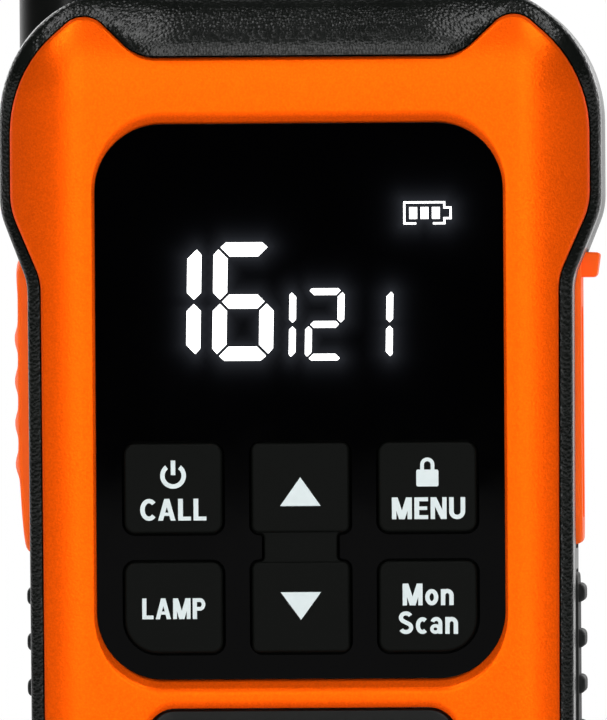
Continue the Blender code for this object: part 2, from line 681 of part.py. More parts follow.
def make_belt_clip():
    mount = slab(rectangle(-9.6, 9.6, 86.0, 104.0, 1.5), *CLIP_PLATE_Y)
    for side in (-1, 1):
        ear = rounded([(16.0, 93.5, 0), (21.4, 94.6, 2.4), (21.4, 101.4, 2.4), (16.0, 102.5, 0)])
        fuse(mount, slab(ear, side * 8.0, side * 9.6, "X"))
    for place in CLIP_SCREW_PLACES:
        carve(mount, rod("Y", place, 1.3, 10.0, 20.0, 10))
    carve(mount, rod("X", (CLIP_PIN_Y, CLIP_PIN_Z), 1.3, -12.0, 12.0))
    finish("clip_mount", mount, "black_shell")

    lever = rounded(
        [
            (20.4, 110.5, 0.7),
            (22.2, 110.5, 0.7),
            (22.5, 98.0, 20.0),
            (21.2, 60.2, 0.8),
            (16.9, 60.2, 0.6),
            (16.9, 62.2, 0.6),
            (19.2, 65.0, 2.0),
            (20.2, 92.0, 4.0),
        ],
        step=22.5,
    )
    clip = slab(lever, -CLIP_HALF, CLIP_HALF, "X")
    fuse(clip, rod("X", (CLIP_PIN_Y, CLIP_PIN_Z), 2.4, -CLIP_HALF, CLIP_HALF, 20))
    carve(clip, rod("X", (CLIP_PIN_Y, CLIP_PIN_Z), 1.3, -12.0, 12.0))
    carve(clip, block((-3.4, 3.4), (10.0, 21.4), (94.4, 101.6)))
    finish("belt_clip", clip, "black_shell", (0.0, CLIP_PIN_Y, CLIP_PIN_Z))

    pin = rod("X", (CLIP_PIN_Y, CLIP_PIN_Z), 1.0, -10.4, 10.4, 12)
    for side in (-1, 1):
        fuse(pin, rod("X", (CLIP_PIN_Y, CLIP_PIN_Z), 1.7, side * 9.9, side * 10.6, 12))
    finish("clip_pin", pin, "steel")


def make_clip_spring():
    """A torsion spring round the pin, with one leg up behind the thumb pad and one down."""
    turns, per_turn, mean = 5, 8, 1.75
    points = [Vector((-2.4, CLIP_PIN_Y - mean, CLIP_PIN_Z - 5.5))]
    for k in range(turns * per_turn + 1):
        angle = 2 * math.pi * k / per_turn
        x = -2.4 + 4.8 * k / (turns * per_turn)
        y = CLIP_PIN_Y - mean * math.cos(angle)
        z = CLIP_PIN_Z + mean * math.sin(angle)
        points.append(Vector((x, y, z)))
    points.append(Vector((2.4, CLIP_PIN_Y - mean + 0.5, CLIP_PIN_Z + 5.5)))
    finish("clip_spring", wire(points, 0.35, 1), "steel")


# ---- Sides ----


def make_talk_key():
    """The talk key: a rubber pad with four finger ribs, thinner towards its lower end."""
    rings = [(-TALK_INNER, 0.0), (-28.6, 0.1), (-TALK_OUTER + 0.1, 0.5), (-TALK_OUTER, 1.1)]
    key = stack(rectangle(*SIDE_KEY_Y, *TALK_Z, 5.0), rings, "X")
    for z in TALK_RIB_Z:
        rings = [(-28.5, 0.0), (-29.5, 0.1), (-29.75, 0.6)]
        fuse(key, stack(rectangle(-2.2, 6.2, z - 1.1, z + 1.1, 0.9, 30.0), rings, "X"))
    for vertex in key.data.vertices:
        z = vertex.co.z / MM
        share = min(1.0, max(0.0, (TALK_THIN_Z - z) / (TALK_THIN_Z - TALK_Z[0])))
        out = -vertex.co.x / MM - TALK_INNER
        vertex.co.x = -(TALK_INNER + out * (1 - 0.75 * share)) * MM
    finish("ptt_key", key, "signal_rubber")
    plunger = slab(rectangle(0.6, 3.4, 74.6, 79.4, 0.5, 30.0), -27.6, -24.6, "X")
    hang(finish("ptt_plunger", plunger, "dark_resin"), key)


def make_jack_cover():
    """The rubber cover over the two ports, with its pull tab at the top and its hinge at the bottom."""
    middle = sum(FLAP_X) / 2
    half = FLAP_X[1] - middle
    turns = [math.pi * (1 + k / 8) for k in range(9)]
    profile = [Vector((middle + half * math.cos(t), FLAP_Z[0] + half * math.sin(t))) for t in turns]
    top = [(FLAP_X[1], FLAP_Z[1] + 0.4), (FLAP_X[0], FLAP_Z[1] - 0.6)]
    profile += [Vector(place) for place in top]
    cover = slab(profile, *SIDE_KEY_Y)
    radii = (3.5, 3.5, 2.4, 2.4)  # rounder beside the hinge, to turn clear of the pocket's corners
    common(cover, slab(rectangle(*SIDE_KEY_Y, FLAP_Z[0] - 0.8, TAB_Z[1], radii), 25.0, 30.0, "X"))
    tab = rounded(
        [
            (FLAP_X[1] - 0.5, TAB_Z[0], 0),
            (TAB_X - 0.3, TAB_Z[0], 0.3),
            (TAB_X, TAB_Z[1], 0.3),
            (FLAP_X[1] - 0.5, TAB_Z[1], 0),
        ],
        step=30.0,
    )
    fuse(cover, slab(tab, -1.5, 5.5))
    fuse(cover, rod("X", (PORT_Y, JACK_Z), 1.4, 23.6, 27.2, 16))
    fuse(cover, slab(rectangle(1.0, 3.0, USB_Z - 3.4, USB_Z + 3.4, 0.9, 30.0), 25.6, 27.2, "X"))
    finish("jack_cover", cover, "signal_rubber", (middle, PORT_Y, FLAP_Z[0]))


# ---- Top ----


def make_antenna():
    middle = (ANTENNA_X, ANTENNA_Y)
    outer = [
        (ANTENNA_BASE_Z, 0.0),
        (ANTENNA_BASE_Z + 22.0, 0.0),
        (ANTENNA_TIP_Z - 4.0, 0.9),
        (ANTENNA_TIP_Z - 1.6, 1.3),
        (ANTENNA_TIP_Z - 0.4, 2.4),
        (ANTENNA_TIP_Z, 3.8),
    ]
    sheath = stack(circle(*middle, ANTENNA_RADIUS), outer, "Z")
    carve(sheath, rod("Z", middle, 3.0, ANTENNA_BASE_Z - 3.0, ANTENNA_TIP_Z - 5.0, 12))
    finish("antenna_sheath", sheath, "black_shell")

    turns, per_turn, mean = 12, 8, 2.0
    start, end = ANTENNA_BASE_Z + 5.0, ANTENNA_TIP_Z - 8.0
    points = []
    for k in range(turns * per_turn + 1):
        angle = 2 * math.pi * k / per_turn
        z = start + (end - start) * k / (turns * per_turn)
        points.append(Vector((ANTENNA_X + mean * math.cos(angle), ANTENNA_Y + mean * math.sin(angle), z)))
    finish("antenna_coil", wire(points, 0.45, 0), "brass")

    ferrule = stack(circle(*middle, 4.4, 20), [(98.5, 0.3), (98.8, 0.0), (ANTENNA_BASE_Z - GAP, 0.0)], "Z")
    fuse(ferrule, rod("Z", middle, 2.6, 102.0, ANTENNA_BASE_Z + 4.0, 16))
    finish("antenna_ferrule", ferrule, "brass")


def make_lamp():
    middle = (LAMP_X, LAMP_Y)
    lens = stack(circle(*middle, LAMP_RADIUS), [(115.8, 0.0), (117.8, 0.0), (118.2, 0.6)], "Z")
    finish("lamp_lens", lens, "clear")
    cup = stack(circle(*middle, LAMP_RADIUS - 0.2), [(111.0, 2.4), (115.4, 0.0)], "Z")
    carve(cup, stack(circle(*middle, LAMP_RADIUS - 0.8), [(110.0, 2.9), (111.0, 2.5), (116.0, 0.0)], "Z"))
    finish("lamp_reflector", cup, "mirror")
    chip = rectangle(LAMP_X - 1.2, LAMP_X + 1.2, LAMP_Y - 1.2, LAMP_Y + 1.2)
    finish("lamp_led", slab(chip, 110.4, 111.6, "Z"), "amber")
    board = rectangle(LAMP_X - 7.0, LAMP_X + 7.0, LAMP_Y - 4.0, LAMP_Y + 4.0)
    finish("lamp_board", slab(board, 109.1, 110.1, "Z"), "board")


def main():
    for obj in list(bpy.data.objects):
        bpy.data.objects.remove(obj)
    make_front_cover()
    make_front_housing()
    make_display_panel()
    make_keys()
    make_key_layers()
    make_display()
    make_speaker()
    make_microphone()
    make_boards()
    make_ports()
    make_rear_housing()
    make_seal()
    make_grips()
    make_screws()
    make_battery()
    make_battery_door()
    make_belt_clip()
    make_clip_spring()
    make_talk_key()
    make_jack_cover()
    make_antenna()
    make_lamp()
    frame = bpy.data.objects.new("two_way_radio", None)
    bpy.context.scene.collection.objects.link(frame)
    for obj in bpy.data.objects:
        if obj.parent is None and obj is not frame:
            hang(obj, frame)


main()
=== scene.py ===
"""Looks of the two way radio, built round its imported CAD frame.

The radio stands on z = 0 and faces -Y. All the driving dimensions below are in millimetres.
"""

import json
import math

import bmesh
import bpy
import numpy as np
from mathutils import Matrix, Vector
from mathutils.geometry import delaunay_2d_cdt


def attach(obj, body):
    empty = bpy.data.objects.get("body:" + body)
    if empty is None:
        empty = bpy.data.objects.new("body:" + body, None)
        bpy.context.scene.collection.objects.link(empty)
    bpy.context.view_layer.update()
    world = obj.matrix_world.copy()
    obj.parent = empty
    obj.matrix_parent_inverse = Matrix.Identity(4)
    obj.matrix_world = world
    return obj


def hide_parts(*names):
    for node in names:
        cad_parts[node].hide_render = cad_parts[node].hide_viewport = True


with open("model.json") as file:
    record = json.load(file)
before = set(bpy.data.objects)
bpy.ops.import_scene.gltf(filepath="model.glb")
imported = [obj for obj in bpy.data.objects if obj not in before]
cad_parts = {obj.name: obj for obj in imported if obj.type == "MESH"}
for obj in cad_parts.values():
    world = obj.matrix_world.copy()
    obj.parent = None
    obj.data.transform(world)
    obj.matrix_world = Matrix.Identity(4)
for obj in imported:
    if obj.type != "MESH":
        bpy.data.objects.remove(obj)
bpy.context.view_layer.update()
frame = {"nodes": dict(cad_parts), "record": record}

MM = 0.001
GAP = 0.3  # free space that the CAD keeps between neighbouring pieces

# Body
BODY_TOP = 118.0
SHOULDER_HALF = 30.5
WAIST_HALF = 27.6
BASE_HALF = 27.3
SHOULDER_Z = 95.3
WAIST_Z = 88.1
FRONT_Y = -16.2
PARTING_Y = -6.0
BACK_Y = 14.5
WALL = 2.0
ROLL_START_X = 21.5
ROLL_START_TOP = 107.0
ROLL_START_BASE = 10.0
ROLL_SIDE_RADIUS = 10.5
ROLL_END_RADIUS = 14.0
COVER_THICK = 1.5
HOUSING_DROP = 0.3
POCKET_DROP = COVER_THICK + GAP
CAVITY_DROP = 3.4
COVER_GAP = 0.14  # seam between the orange cover and the black rim

# Where cuts end, clear of the body
BEFORE_FRONT = -20.0
BEHIND_BACK = 20.0
BEYOND_SIDE = 35.0
ABOVE_TOP = 125.0

# Front
PANEL_HALF = 20.6
PANEL_Z = (47.9, 103.9)
PANEL_RADIUS = 6.7
PANEL_FRONT = -15.4
PANEL_BACK = -14.3
GRILLE_HALF = 15.75
GRILLE_Z = (11.8, 44.8)
GRILLE_RADIUS = 3.0
GRILLE_FRONT = -15.7
GRILLE_BACK = -14.45
SPEAKER_Z = 27.0
SPEAKER_HOLE = 12.6
SLOT_COUNT = 7
SLOT_PITCH = 3.2
SLOT_HEIGHT = 1.6
SLOT_REACH = 12.4
MIC_Z = 7.4
KEY_HALF_WIDTH = 4.97
KEY_COLUMN = 12.85
KEY_TOP_ROW = (62.6, 71.7)
KEY_LOW_ROW = (50.5, 59.7)
KEY_RADIUS = 1.1
KEY_BIG_RADIUS = 3.4
KEY_FRONT = -16.0
PRINT_RISE = 0.012  # how far legends and lit digits stand out of the face they lie on
PRINT_THICK = 0.03
NECK_HALF = 3.7
CORNER_RADIUS = 0.75  # of the rocker's corners beside its neck
NECK_RADIUS = 0.5  # of the neck's own corners
NECK_STEP = 0.25  # how far the neck lies behind the rocker's two key faces
FLANGE_WIDTH = 0.55
FLANGE_Y = (-13.6, -12.9)

# Sides
SIDE_KEY_Y = (-4.0, 8.0)
SIDE_POCKET = 26.6
TALK_Z = (60.6, 90.7)
TALK_WAVES_Z = (82.4, 78.1, 73.8, 69.5)
TALK_WAVE = 4.3
TALK_RADIUS = 5.0
TALK_INNER = 27.95
TALK_THIN_Z = 68.0
FLAP_Z = (61.8, 90.3)
FLAP_X = (26.9, 28.2)
TAB_Z = (88.3, 90.9)
TAB_X = 30.1
GRIP_Y = (-4.2, 8.2)
GRIP_Z = (12.0, 58.3)
GRIP_RADIUS = 3.0
GRIP_POCKET = 26.5
GRIP_OUTER = 27.75
RIB_TOP_Z = 56.2
RIB_PITCH = 4.65
RIB_COUNT = 10
JACK_Z = 82.1
USB_Z = 71.5
PORT_Y = 2.0

# Rear
DOOR_HALF = 21.0
DOOR_Z = (5.6, 58.7)
DOOR_RADIUS = 4.0
DOOR_INNER = 13.0
BAY_HALF = 19.1
BAY_Z = (12.5, 57.0)
BAY_FLOOR = 2.7
LOCK_Z = 10.2
LOCK_RADIUS = 3.7
SCREW_PLACES = ((-22.8, 93.0), (22.8, 93.0), (-24.0, 10.5), (24.0, 10.5))
SCREW_HEAD_Y = (10.1, 11.7)
SCREW_BORE = 1.3
SCREW_WELL = 2.3
SCREW_HEAD = 1.9
CLIP_SCREW_PLACES = ((-5.5, 90.0), (5.5, 90.0))
CLIP_PIN = (18.9, 98.0)
PIN_BORE = 1.3
CLIP_HALF = 7.6
CLIP_PLATE_Y = (14.8, 16.2)

# Top
ANTENNA_AXIS = (-23.4, 3.0)
ANTENNA_RADIUS = 5.7
ANTENNA_BASE_Z = 103.0
ANTENNA_TIP_Z = 190.0
LAMP_AXIS = (5.0, 2.0)
LAMP_RADIUS = 5.0


# ---- Outlines: closed lists of (u, v) points ----


def rounded(corners, step=7.5):
    """An outline through corners given as (u, v, radius), with each corner turned into an arc."""
    points = []
    for i, (u, v, radius) in enumerate(corners):
        here = Vector((u, v))
        before = (Vector(corners[i - 1][:2]) - here).normalized()
        after = (Vector(corners[(i + 1) % len(corners)][:2]) - here).normalized()
        turn = math.pi - before.angle(after)
        if radius == 0 or turn < 0.001:
            points.append(here)
            continue
        centre = here + (before + after).normalized() * radius / math.cos(turn / 2)
        first = here + before * radius * math.tan(turn / 2) - centre
        last = here + after * radius * math.tan(turn / 2) - centre
        side = math.copysign(turn, first.x * last.y - first.y * last.x)
        steps = max(1, round(math.degrees(turn) / step))
        for k in range(steps + 1):
            angle = side * k / steps
            points.append(centre + first * math.cos(angle) + first.orthogonal() * math.sin(angle))
    return points


def mirrored(half):
    """The corners of a shape that is symmetric about u = 0, from its right half, top to bottom."""
    return half + [(-u, v, radius) for u, v, radius in reversed(half)]


def rectangle(u0, u1, v0, v1, radius=0.0, step=11.25):
    """A rectangle; radius is one number, or four, from the lower left round to the upper left."""
    radii = radius if isinstance(radius, tuple) else (radius,) * 4
    places = ((u0, v0), (u1, v0), (u1, v1), (u0, v1))
    return rounded([(u, v, r) for (u, v), r in zip(places, radii)], step)


def circle(u, v, radius, sides=40):
    turns = [2 * math.pi * (k + 0.5) / sides for k in range(sides)]
    return [Vector((u + radius * math.cos(t), v + radius * math.sin(t))) for t in turns]


def divided(outline, longest):
    """The outline with its long sides cut into equal pieces, none longer than the given length."""
    points = []
    for here, after in zip(outline, outline[1:] + outline[:1]):
        pieces = max(1, math.ceil((after - here).length / longest))
        points += [here.lerp(after, k / pieces) for k in range(pieces)]
    return points


def inset(outline, distance):
    """The outline moved inwards, point for point; distance is one number or one for each point."""
    count = len(outline)
    steps = [distance] * count if isinstance(distance, (int, float)) else distance
    area = sum(a.x * b.y - a.y * b.x for a, b in zip(outline, outline[1:] + outline[:1]))
    inward = 1 if area > 0 else -1
    moved = []
    for i, here in enumerate(outline):
        before = (here - outline[i - 1]).normalized()
        after = (outline[(i + 1) % count] - here).normalized()
        normal = Vector((-before.y - after.y, before.x + after.x)).normalized() * inward
        flat = Vector((-after.y, after.x)) * inward
        moved.append(here + normal * steps[i] / max(0.2, normal.dot(flat)))
    return moved


def inside(points, polygon):
    """Which of the points, an n by 2 array, lie inside the closed polygon."""
    u, v = points[:, :1], points[:, 1:]
    first = np.array(polygon)
    last = np.roll(first, -1, 0)
    crosses = (first[:, 1] > v) != (last[:, 1] > v)
    rise = np.where(last[:, 1] == first[:, 1], 1.0, last[:, 1] - first[:, 1])
    place = first[:, 0] + (v - first[:, 1]) / rise * (last[:, 0] - first[:, 0])
    return (crosses & (u < place)).sum(axis=1) % 2 == 1


def distance_to(points, polygon):
    """Each point's distance to the nearest side of the closed polygon."""
    first = np.array(polygon)
    side = np.roll(first, -1, 0) - first
    offset = np.array(points)[:, None, :] - first
    share = np.clip((offset * side).sum(2) / (side * side).sum(1), 0, 1)
    return np.linalg.norm(offset - share[..., None] * side, axis=2).min(axis=1)


BODY_CORNERS = [
    (SHOULDER_HALF, BODY_TOP, 13.7),
    (SHOULDER_HALF, SHOULDER_Z, 7.0),
    (WAIST_HALF, WAIST_Z, 6.0),
    (BASE_HALF, 0.0, 11.0),
]
COVER_CORNERS = [
    (16.3, 110.7, 4.9),
    (20.7, 114.9, 2.6),
    (22.8, 114.9, 2.6),
    (29.35, 109.0, 13.5),
    (29.35, 95.5, 7.4),
    (26.2, 88.3, 6.0),
    (25.9, 3.2, 9.6),
]
BODY_OUTLINE = divided(rounded(mirrored(BODY_CORNERS), step=4.0), 1.6)
COVER_OUTLINE = divided(rounded(mirrored(COVER_CORNERS), step=5.0), 1.6)
PANEL_OUTLINE = divided(rectangle(-PANEL_HALF, PANEL_HALF, *PANEL_Z, PANEL_RADIUS, 5.0), 1.5)
GRILLE_OUTLINE = divided(rectangle(-GRILLE_HALF, GRILLE_HALF, *GRILLE_Z, GRILLE_RADIUS, 7.5), 1.5)
DOOR_OUTLINE = rectangle(-DOOR_HALF, DOOR_HALF, *DOOR_Z, DOOR_RADIUS, 7.5)


def key_outline(column, row, radii):
    """A key's outline; column is -1, 0 or 1, and radii are as a rectangle's."""
    middle = column * KEY_COLUMN
    return rectangle(middle - KEY_HALF_WIDTH, middle + KEY_HALF_WIDTH, *row, radii)


def rocker_outline():
    """Two key shapes, one above the other, joined by a narrower neck."""
    low_edge, high_edge = KEY_LOW_ROW[1], KEY_TOP_ROW[0]
    half = [
        (KEY_HALF_WIDTH, KEY_TOP_ROW[1], KEY_RADIUS),
        (KEY_HALF_WIDTH, high_edge, CORNER_RADIUS),
        (NECK_HALF, high_edge, NECK_RADIUS),
        (NECK_HALF, low_edge, NECK_RADIUS),
        (KEY_HALF_WIDTH, low_edge, CORNER_RADIUS),
        (KEY_HALF_WIDTH, KEY_LOW_ROW[0], KEY_RADIUS),
    ]
    return rounded(mirrored(half), step=11.25)


KEY_OUTLINES = {
    "call_key": key_outline(-1, KEY_TOP_ROW, KEY_RADIUS),
    "menu_key": key_outline(1, KEY_TOP_ROW, KEY_RADIUS),
    "lamp_key": key_outline(-1, KEY_LOW_ROW, (KEY_BIG_RADIUS, KEY_RADIUS, KEY_RADIUS, KEY_RADIUS)),
    "scan_key": key_outline(1, KEY_LOW_ROW, (KEY_RADIUS, KEY_BIG_RADIUS, KEY_RADIUS, KEY_RADIUS)),
    "channel_rocker": rocker_outline(),
}


# ---- Mesh work ----

PLANE = {"X": (1, 2), "Y": (0, 2), "Z": (0, 1)}  # the coordinates that lie across each axis


def placed(u, v, along, axis):
    """A point in metres, from an outline's (u, v) and its place along the axis that it is swept on."""
    order = {"X": (along, u, v), "Y": (u, along, v), "Z": (u, v, along)}[axis]
    return Vector(order) * MM


def stored(bm):
    """A new object in the scene that holds this mesh, with its faces turned outwards."""
    bmesh.ops.recalc_face_normals(bm, faces=bm.faces)
    mesh = bpy.data.meshes.new("shape")
    bm.to_mesh(mesh)
    bm.free()
    obj = bpy.data.objects.new("shape", mesh)
    bpy.context.scene.collection.objects.link(obj)
    return obj


def ring(bm, outline, along, axis="Y"):
    """One loop of vertices; along is one number, a list of them, or a height for each (u, v)."""
    if callable(along):
        along = [along(p.x, p.y) for p in outline]
    elif not isinstance(along, list):
        along = [along] * len(outline)
    return [bm.verts.new(placed(p.x, p.y, place, axis)) for p, place in zip(outline, along)]


def band(bm, low, high):
    """The strip of quads between two loops with as many points."""
    for k in range(len(low)):
        bm.faces.new((low[k - 1], low[k], high[k], high[k - 1]))


def bands(bm, loops):
    for low, high in zip(loops, loops[1:]):
        band(bm, low, high)
    return loops


def between(points, outlines):
    """Which of the points lie inside the first outline and outside the others."""
    wanted = inside(points, outlines[0])
    for hole in outlines[1:]:
        wanted &= ~inside(points, hole)
    return wanted


def sides_of(outlines):
    """Index pairs for the sides of closed outlines whose points are listed one after another."""
    sides = []
    for outline in outlines:
        start = len(sides)
        sides += [(start + k, start + (k + 1) % len(outline)) for k in range(len(outline))]
    return sides


def fill(bm, loops, along, spacing, axis="Y"):
    """A net of small triangles inside the first loop and outside the others; along is as a ring's."""
    across = PLANE[axis]
    outlines = [[Vector((v.co[across[0]], v.co[across[1]])) / MM for v in loop] for loop in loops]
    low, high = np.min(outlines[0], axis=0), np.max(outlines[0], axis=0)
    rows = np.arange(low[1] + spacing / 2, high[1], spacing * 0.87)
    grid = []
    for k, v in enumerate(rows):
        start = low[0] + spacing * (0.5 if k % 2 else 0.0)
        grid += [(u, v) for u in np.arange(start, high[0], spacing)]
    grid = np.array(grid if grid else [(low[0] - 1.0, low[1] - 1.0)])
    keep = between(grid, outlines)
    for outline in outlines:
        keep &= distance_to(grid, outline) > 0.6 * spacing
    grid = [Vector(place) for place in grid[keep]]
    points = [p for outline in outlines for p in outline] + grid
    corners = [v for loop in loops for v in loop] + ring(bm, grid, along, axis)
    _, _, triangles, sources, _, _ = delaunay_2d_cdt(points, sides_of(outlines), [], 0, 1e-7)
    triangles = [[sources[i][0] for i in triangle] for triangle in triangles]
    middles = np.array([np.mean([points[i] for i in triangle], axis=0) for triangle in triangles])
    for triangle, wanted in zip(triangles, between(middles, outlines)):
        if wanted:
            bm.faces.new([corners[i] for i in triangle])


def close(bm, outer, holes, front, back):
    """Closes a pierced solid at its front and its back, each given as (height, spacing)."""
    fill(bm, [outer[-1]] + [loops[-1] for loops in holes], *front)
    fill(bm, [outer[0]] + [loops[0] for loops in holes], *back)


def stack(outline, rings, axis="Y"):
    """A closed solid swept along an axis. Each ring is (place along the axis, inset of the outline)."""
    bm = bmesh.new()
    loops = bands(bm, [ring(bm, inset(outline, inward), along, axis) for along, inward in rings])
    bm.faces.new(loops[0])
    bm.faces.new(loops[-1])
    return stored(bm)


def quarter(steps):
    """A quarter-round edge as (inset, fall) pairs for a radius of 1, from its wall to its face."""
    angles = [math.pi / 2 * (1 - k / steps) for k in range(steps + 1)]
    return [(1 - math.sin(angle), 1 - math.cos(angle)) for angle in angles]


def edge_rings(place, direction, radius, steps=4, leaving=True):
    """Rings of a quarter-round edge at one end of a sweep, in sweep order."""
    rings = [(place - direction * radius * fall, radius * inward) for inward, fall in quarter(steps)]
    return rings if leaving else rings[::-1]


def pillow(outline, start, end, start_radius, end_radius, axis="Y", steps=4):
    """A slab with quarter-round edges."""
    direction = 1 if end > start else -1
    rings = edge_rings(start, -direction, start_radius, steps, False) if start_radius else [(start, 0.0)]
    rings += edge_rings(end, direction, end_radius, steps) if end_radius else [(end, 0.0)]
    return stack(outline, rings, axis)


def slab(outline, start, end, axis="Y"):
    return stack(outline, [(start, 0.0), (end, 0.0)], axis)


def block(x, y, z):
    """A plain box from three (low, high) pairs."""
    return slab(rectangle(*x, *z), *y)


def rod(axis, centre, radius, start, end, sides=40):
    return slab(circle(*centre, radius, sides), start, end, axis)


def combine(operation, target, others):
    """Applies a Boolean between the target and each of the others, which are used up."""
    for other in others:
        modifier = target.modifiers.new("combine", "BOOLEAN")
        modifier.operation = operation
        modifier.solver = "MANIFOLD"
        modifier.object = other
        graph = bpy.context.evaluated_depsgraph_get()
        mesh = bpy.data.meshes.new_from_object(target.evaluated_get(graph))
        target.modifiers.clear()
        target.data = mesh
        bpy.data.objects.remove(other)
    return target


def carve(target, *others):
    return combine("DIFFERENCE", target, others)


def fuse(target, *others):
    return combine("UNION", target, others)


def common(target, *others):
    return combine("INTERSECT", target, others)


def smoothstep(low, high, value):
    share = min(1.0, max(0.0, (value - low) / (high - low)))
    return share * share * (3 - 2 * share)


# ---- Materials ----


def tint(value):
    return (*value, 1.0)


class Look:
    """A node material in the making: a Principled shader and short ways to feed it."""

    def __init__(self, name, colour, roughness, metallic=0.0, **sockets):
        self.material = bpy.data.materials.new(name)
        self.material.use_nodes = True
        self.tree = self.material.node_tree
        self.shader = self.tree.nodes["Principled BSDF"]
        self.feed(Base_Color=tint(colour), Roughness=roughness, Metallic=metallic, **sockets)
        self.colour = colour
        self.roughness = roughness
        self.height = None

    def set(self, node, socket, value):
        if isinstance(value, bpy.types.NodeSocket):
            self.tree.links.new(value, node.inputs[socket])
        else:
            node.inputs[socket].default_value = value

    def feed(self, **sockets):
        """Sets or links the shader's own sockets, named with underscores for spaces."""
        for socket, value in sockets.items():
            self.set(self.shader, socket.replace("_", " "), value)

    def node(self, kind, **settings):
        node = self.tree.nodes.new(kind)
        for key, value in settings.items():
            setattr(node, key, value)
        return node

    def place(self, scale=(1.0, 1.0, 1.0)):
        """Object coordinates, stretched by a scale for each axis."""
        where = self.node("ShaderNodeTexCoord")
        mapping = self.node("ShaderNodeMapping")
        self.set(mapping, "Vector", where.outputs["Object"])
        self.set(mapping, "Scale", scale)
        return mapping.outputs["Vector"]

    def noise(self, size, detail=2.0, stretch=(1.0, 1.0, 1.0), roughness=0.5):
        """Noise with features of about this size in millimetres."""
        noise = self.node("ShaderNodeTexNoise")
        self.set(noise, "Vector", self.place(stretch))
        self.set(noise, "Scale", 1.0 / (size * MM))
        self.set(noise, "Detail", detail)
        self.set(noise, "Roughness", roughness)
        return noise.outputs["Fac"]

    def cells(self, size, feature="F1", output="Distance"):
        cells = self.node("ShaderNodeTexVoronoi", feature=feature)
        self.set(cells, "Vector", self.place())
        self.set(cells, "Scale", 1.0 / (size * MM))
        return cells.outputs[output]

    def span(self, value, low, high, to_low=0.0, to_high=1.0):
        """The value, remapped and clamped from one range to another."""
        remap = self.node("ShaderNodeMapRange")
        self.set(remap, "Value", value)
        numbers = {"From Min": low, "From Max": high, "To Min": to_low, "To Max": to_high}
        for socket, number in numbers.items():
            self.set(remap, socket, number)
        return remap.outputs["Result"]

    def mixed(self, share, first, second):
        """A colour between two others."""
        mix = self.node("ShaderNodeMix", data_type="RGBA")
        self.tree.links.new(share, mix.inputs[0])
        for slot, colour in ((6, first), (7, second)):
            if isinstance(colour, bpy.types.NodeSocket):
                self.tree.links.new(colour, mix.inputs[slot])
            else:
                mix.inputs[slot].default_value = (*colour, 1.0)
        return mix.outputs[2]

    def bump(self, height, depth):
        """Adds a relief of this depth in millimetres on top of the ones before."""
        bump = self.node("ShaderNodeBump")
        self.set(bump, "Height", height)
        self.set(bump, "Distance", depth * MM)
        if self.height is not None:
            self.set(bump, "Normal", self.height)
        self.height = bump.outputs["Normal"]
        self.feed(Normal=self.height)
        return self

    def mottle(self, size, amount):
        """Slight patches of a lighter and darker base colour and roughness."""
        share = self.noise(size, 3.0)
        dark = [c * (1 - amount) for c in self.colour]
        light = [min(1.0, c * (1 + amount)) for c in self.colour]
        share = self.span(share, 0.3, 0.7)
        half = amount * 0.5
        rough = self.span(share, 0.0, 1.0, self.roughness * (1 - half), self.roughness * (1 + half))
        self.feed(Base_Color=self.mixed(share, dark, light), Roughness=rough)
        return self


# Plain looks: colour, roughness, specular level, mottle (size, amount), bump (size, detail, depth)
PLAIN_LOOKS = {
    "signal_rubber": ((1.0, 0.12, 0.008), 0.5, 0.1, (3.0, 0.05), (0.12, 2.0, 0.006)),
    "rear_shell": ((0.0034, 0.0040, 0.0038), 0.36, 0.4, (5.0, 0.12), (0.35, 2.0, 0.012)),
    "black_smooth": ((0.0018, 0.0023, 0.0019), 0.3, 0.14, (5.0, 0.1), (0.25, 2.0, 0.004)),
    "key_rubber": ((0.0018, 0.0022, 0.0018), 0.5, 0.045, (2.5, 0.1), (0.13, 2.0, 0.006)),
    "grip_rubber": ((0.009, 0.010, 0.0095), 0.6, 0.15, (3.0, 0.1), (0.1, 3.0, 0.01)),
    "seal_rubber": ((0.07, 0.07, 0.075), 0.7, 0.5, (2.0, 0.1), (0.2, 2.0, 0.01)),
    "dark_resin": ((0.025, 0.025, 0.027), 0.4, 0.5, (1.5, 0.15), (0.15, 2.0, 0.006)),
    "battery_wrap": ((0.03, 0.06, 0.16), 0.3, 0.5, (6.0, 0.1), (5.0, 2.0, 0.08)),
    "amber": ((0.80, 0.52, 0.10), 0.32, 0.5, (2.0, 0.08), None),
    "ink": ((0.58, 0.645, 0.65), 0.5, 0.2, (0.8, 0.02), None),
}


def make_shell_looks(add):
    """The outer mouldings: orange cover, black shell and glossy window."""
    orange = add("orange", (0.93, 0.097, 0.0018), 0.33, 0.55, Specular_IOR_Level=0.2)
    grain = orange.span(orange.noise(0.22, 3.0), 0.32, 0.68)
    colour = orange.mixed(grain, (0.84, 0.082, 0.0015), (0.99, 0.109, 0.0020))
    orange.feed(Specular_Tint=tint((1.0, 0.35, 0.02)), Base_Color=colour)
    orange.bump(orange.noise(0.24, 3.0), 0.028)

    shell = add("black_shell", (0.0028, 0.0036, 0.0029), 0.24, Specular_IOR_Level=0.27)
    shell.mottle(4.0, 0.12)
    shell.bump(shell.span(shell.cells(0.38), 0.0, 0.7, 1.0, 0.0), 0.032)
    shell.bump(shell.noise(0.2, 2.0), 0.01)

    gloss = add("black_gloss", (0.0002, 0.0002, 0.0003), 0.03, Specular_IOR_Level=0.07)
    gloss.feed(Roughness=gloss.span(gloss.noise(6.0, 4.0), 0.3, 0.8, 0.02, 0.05))
    # Painted glow: the window's emission strength comes from the glow stored on its mesh, a halo of
    # light round the lit digits
    glow = gloss.node("ShaderNodeAttribute", attribute_name="glow")
    gloss.feed(Emission_Color=tint((0.75, 0.82, 1.0)), Emission_Strength=glow.outputs["Fac"])


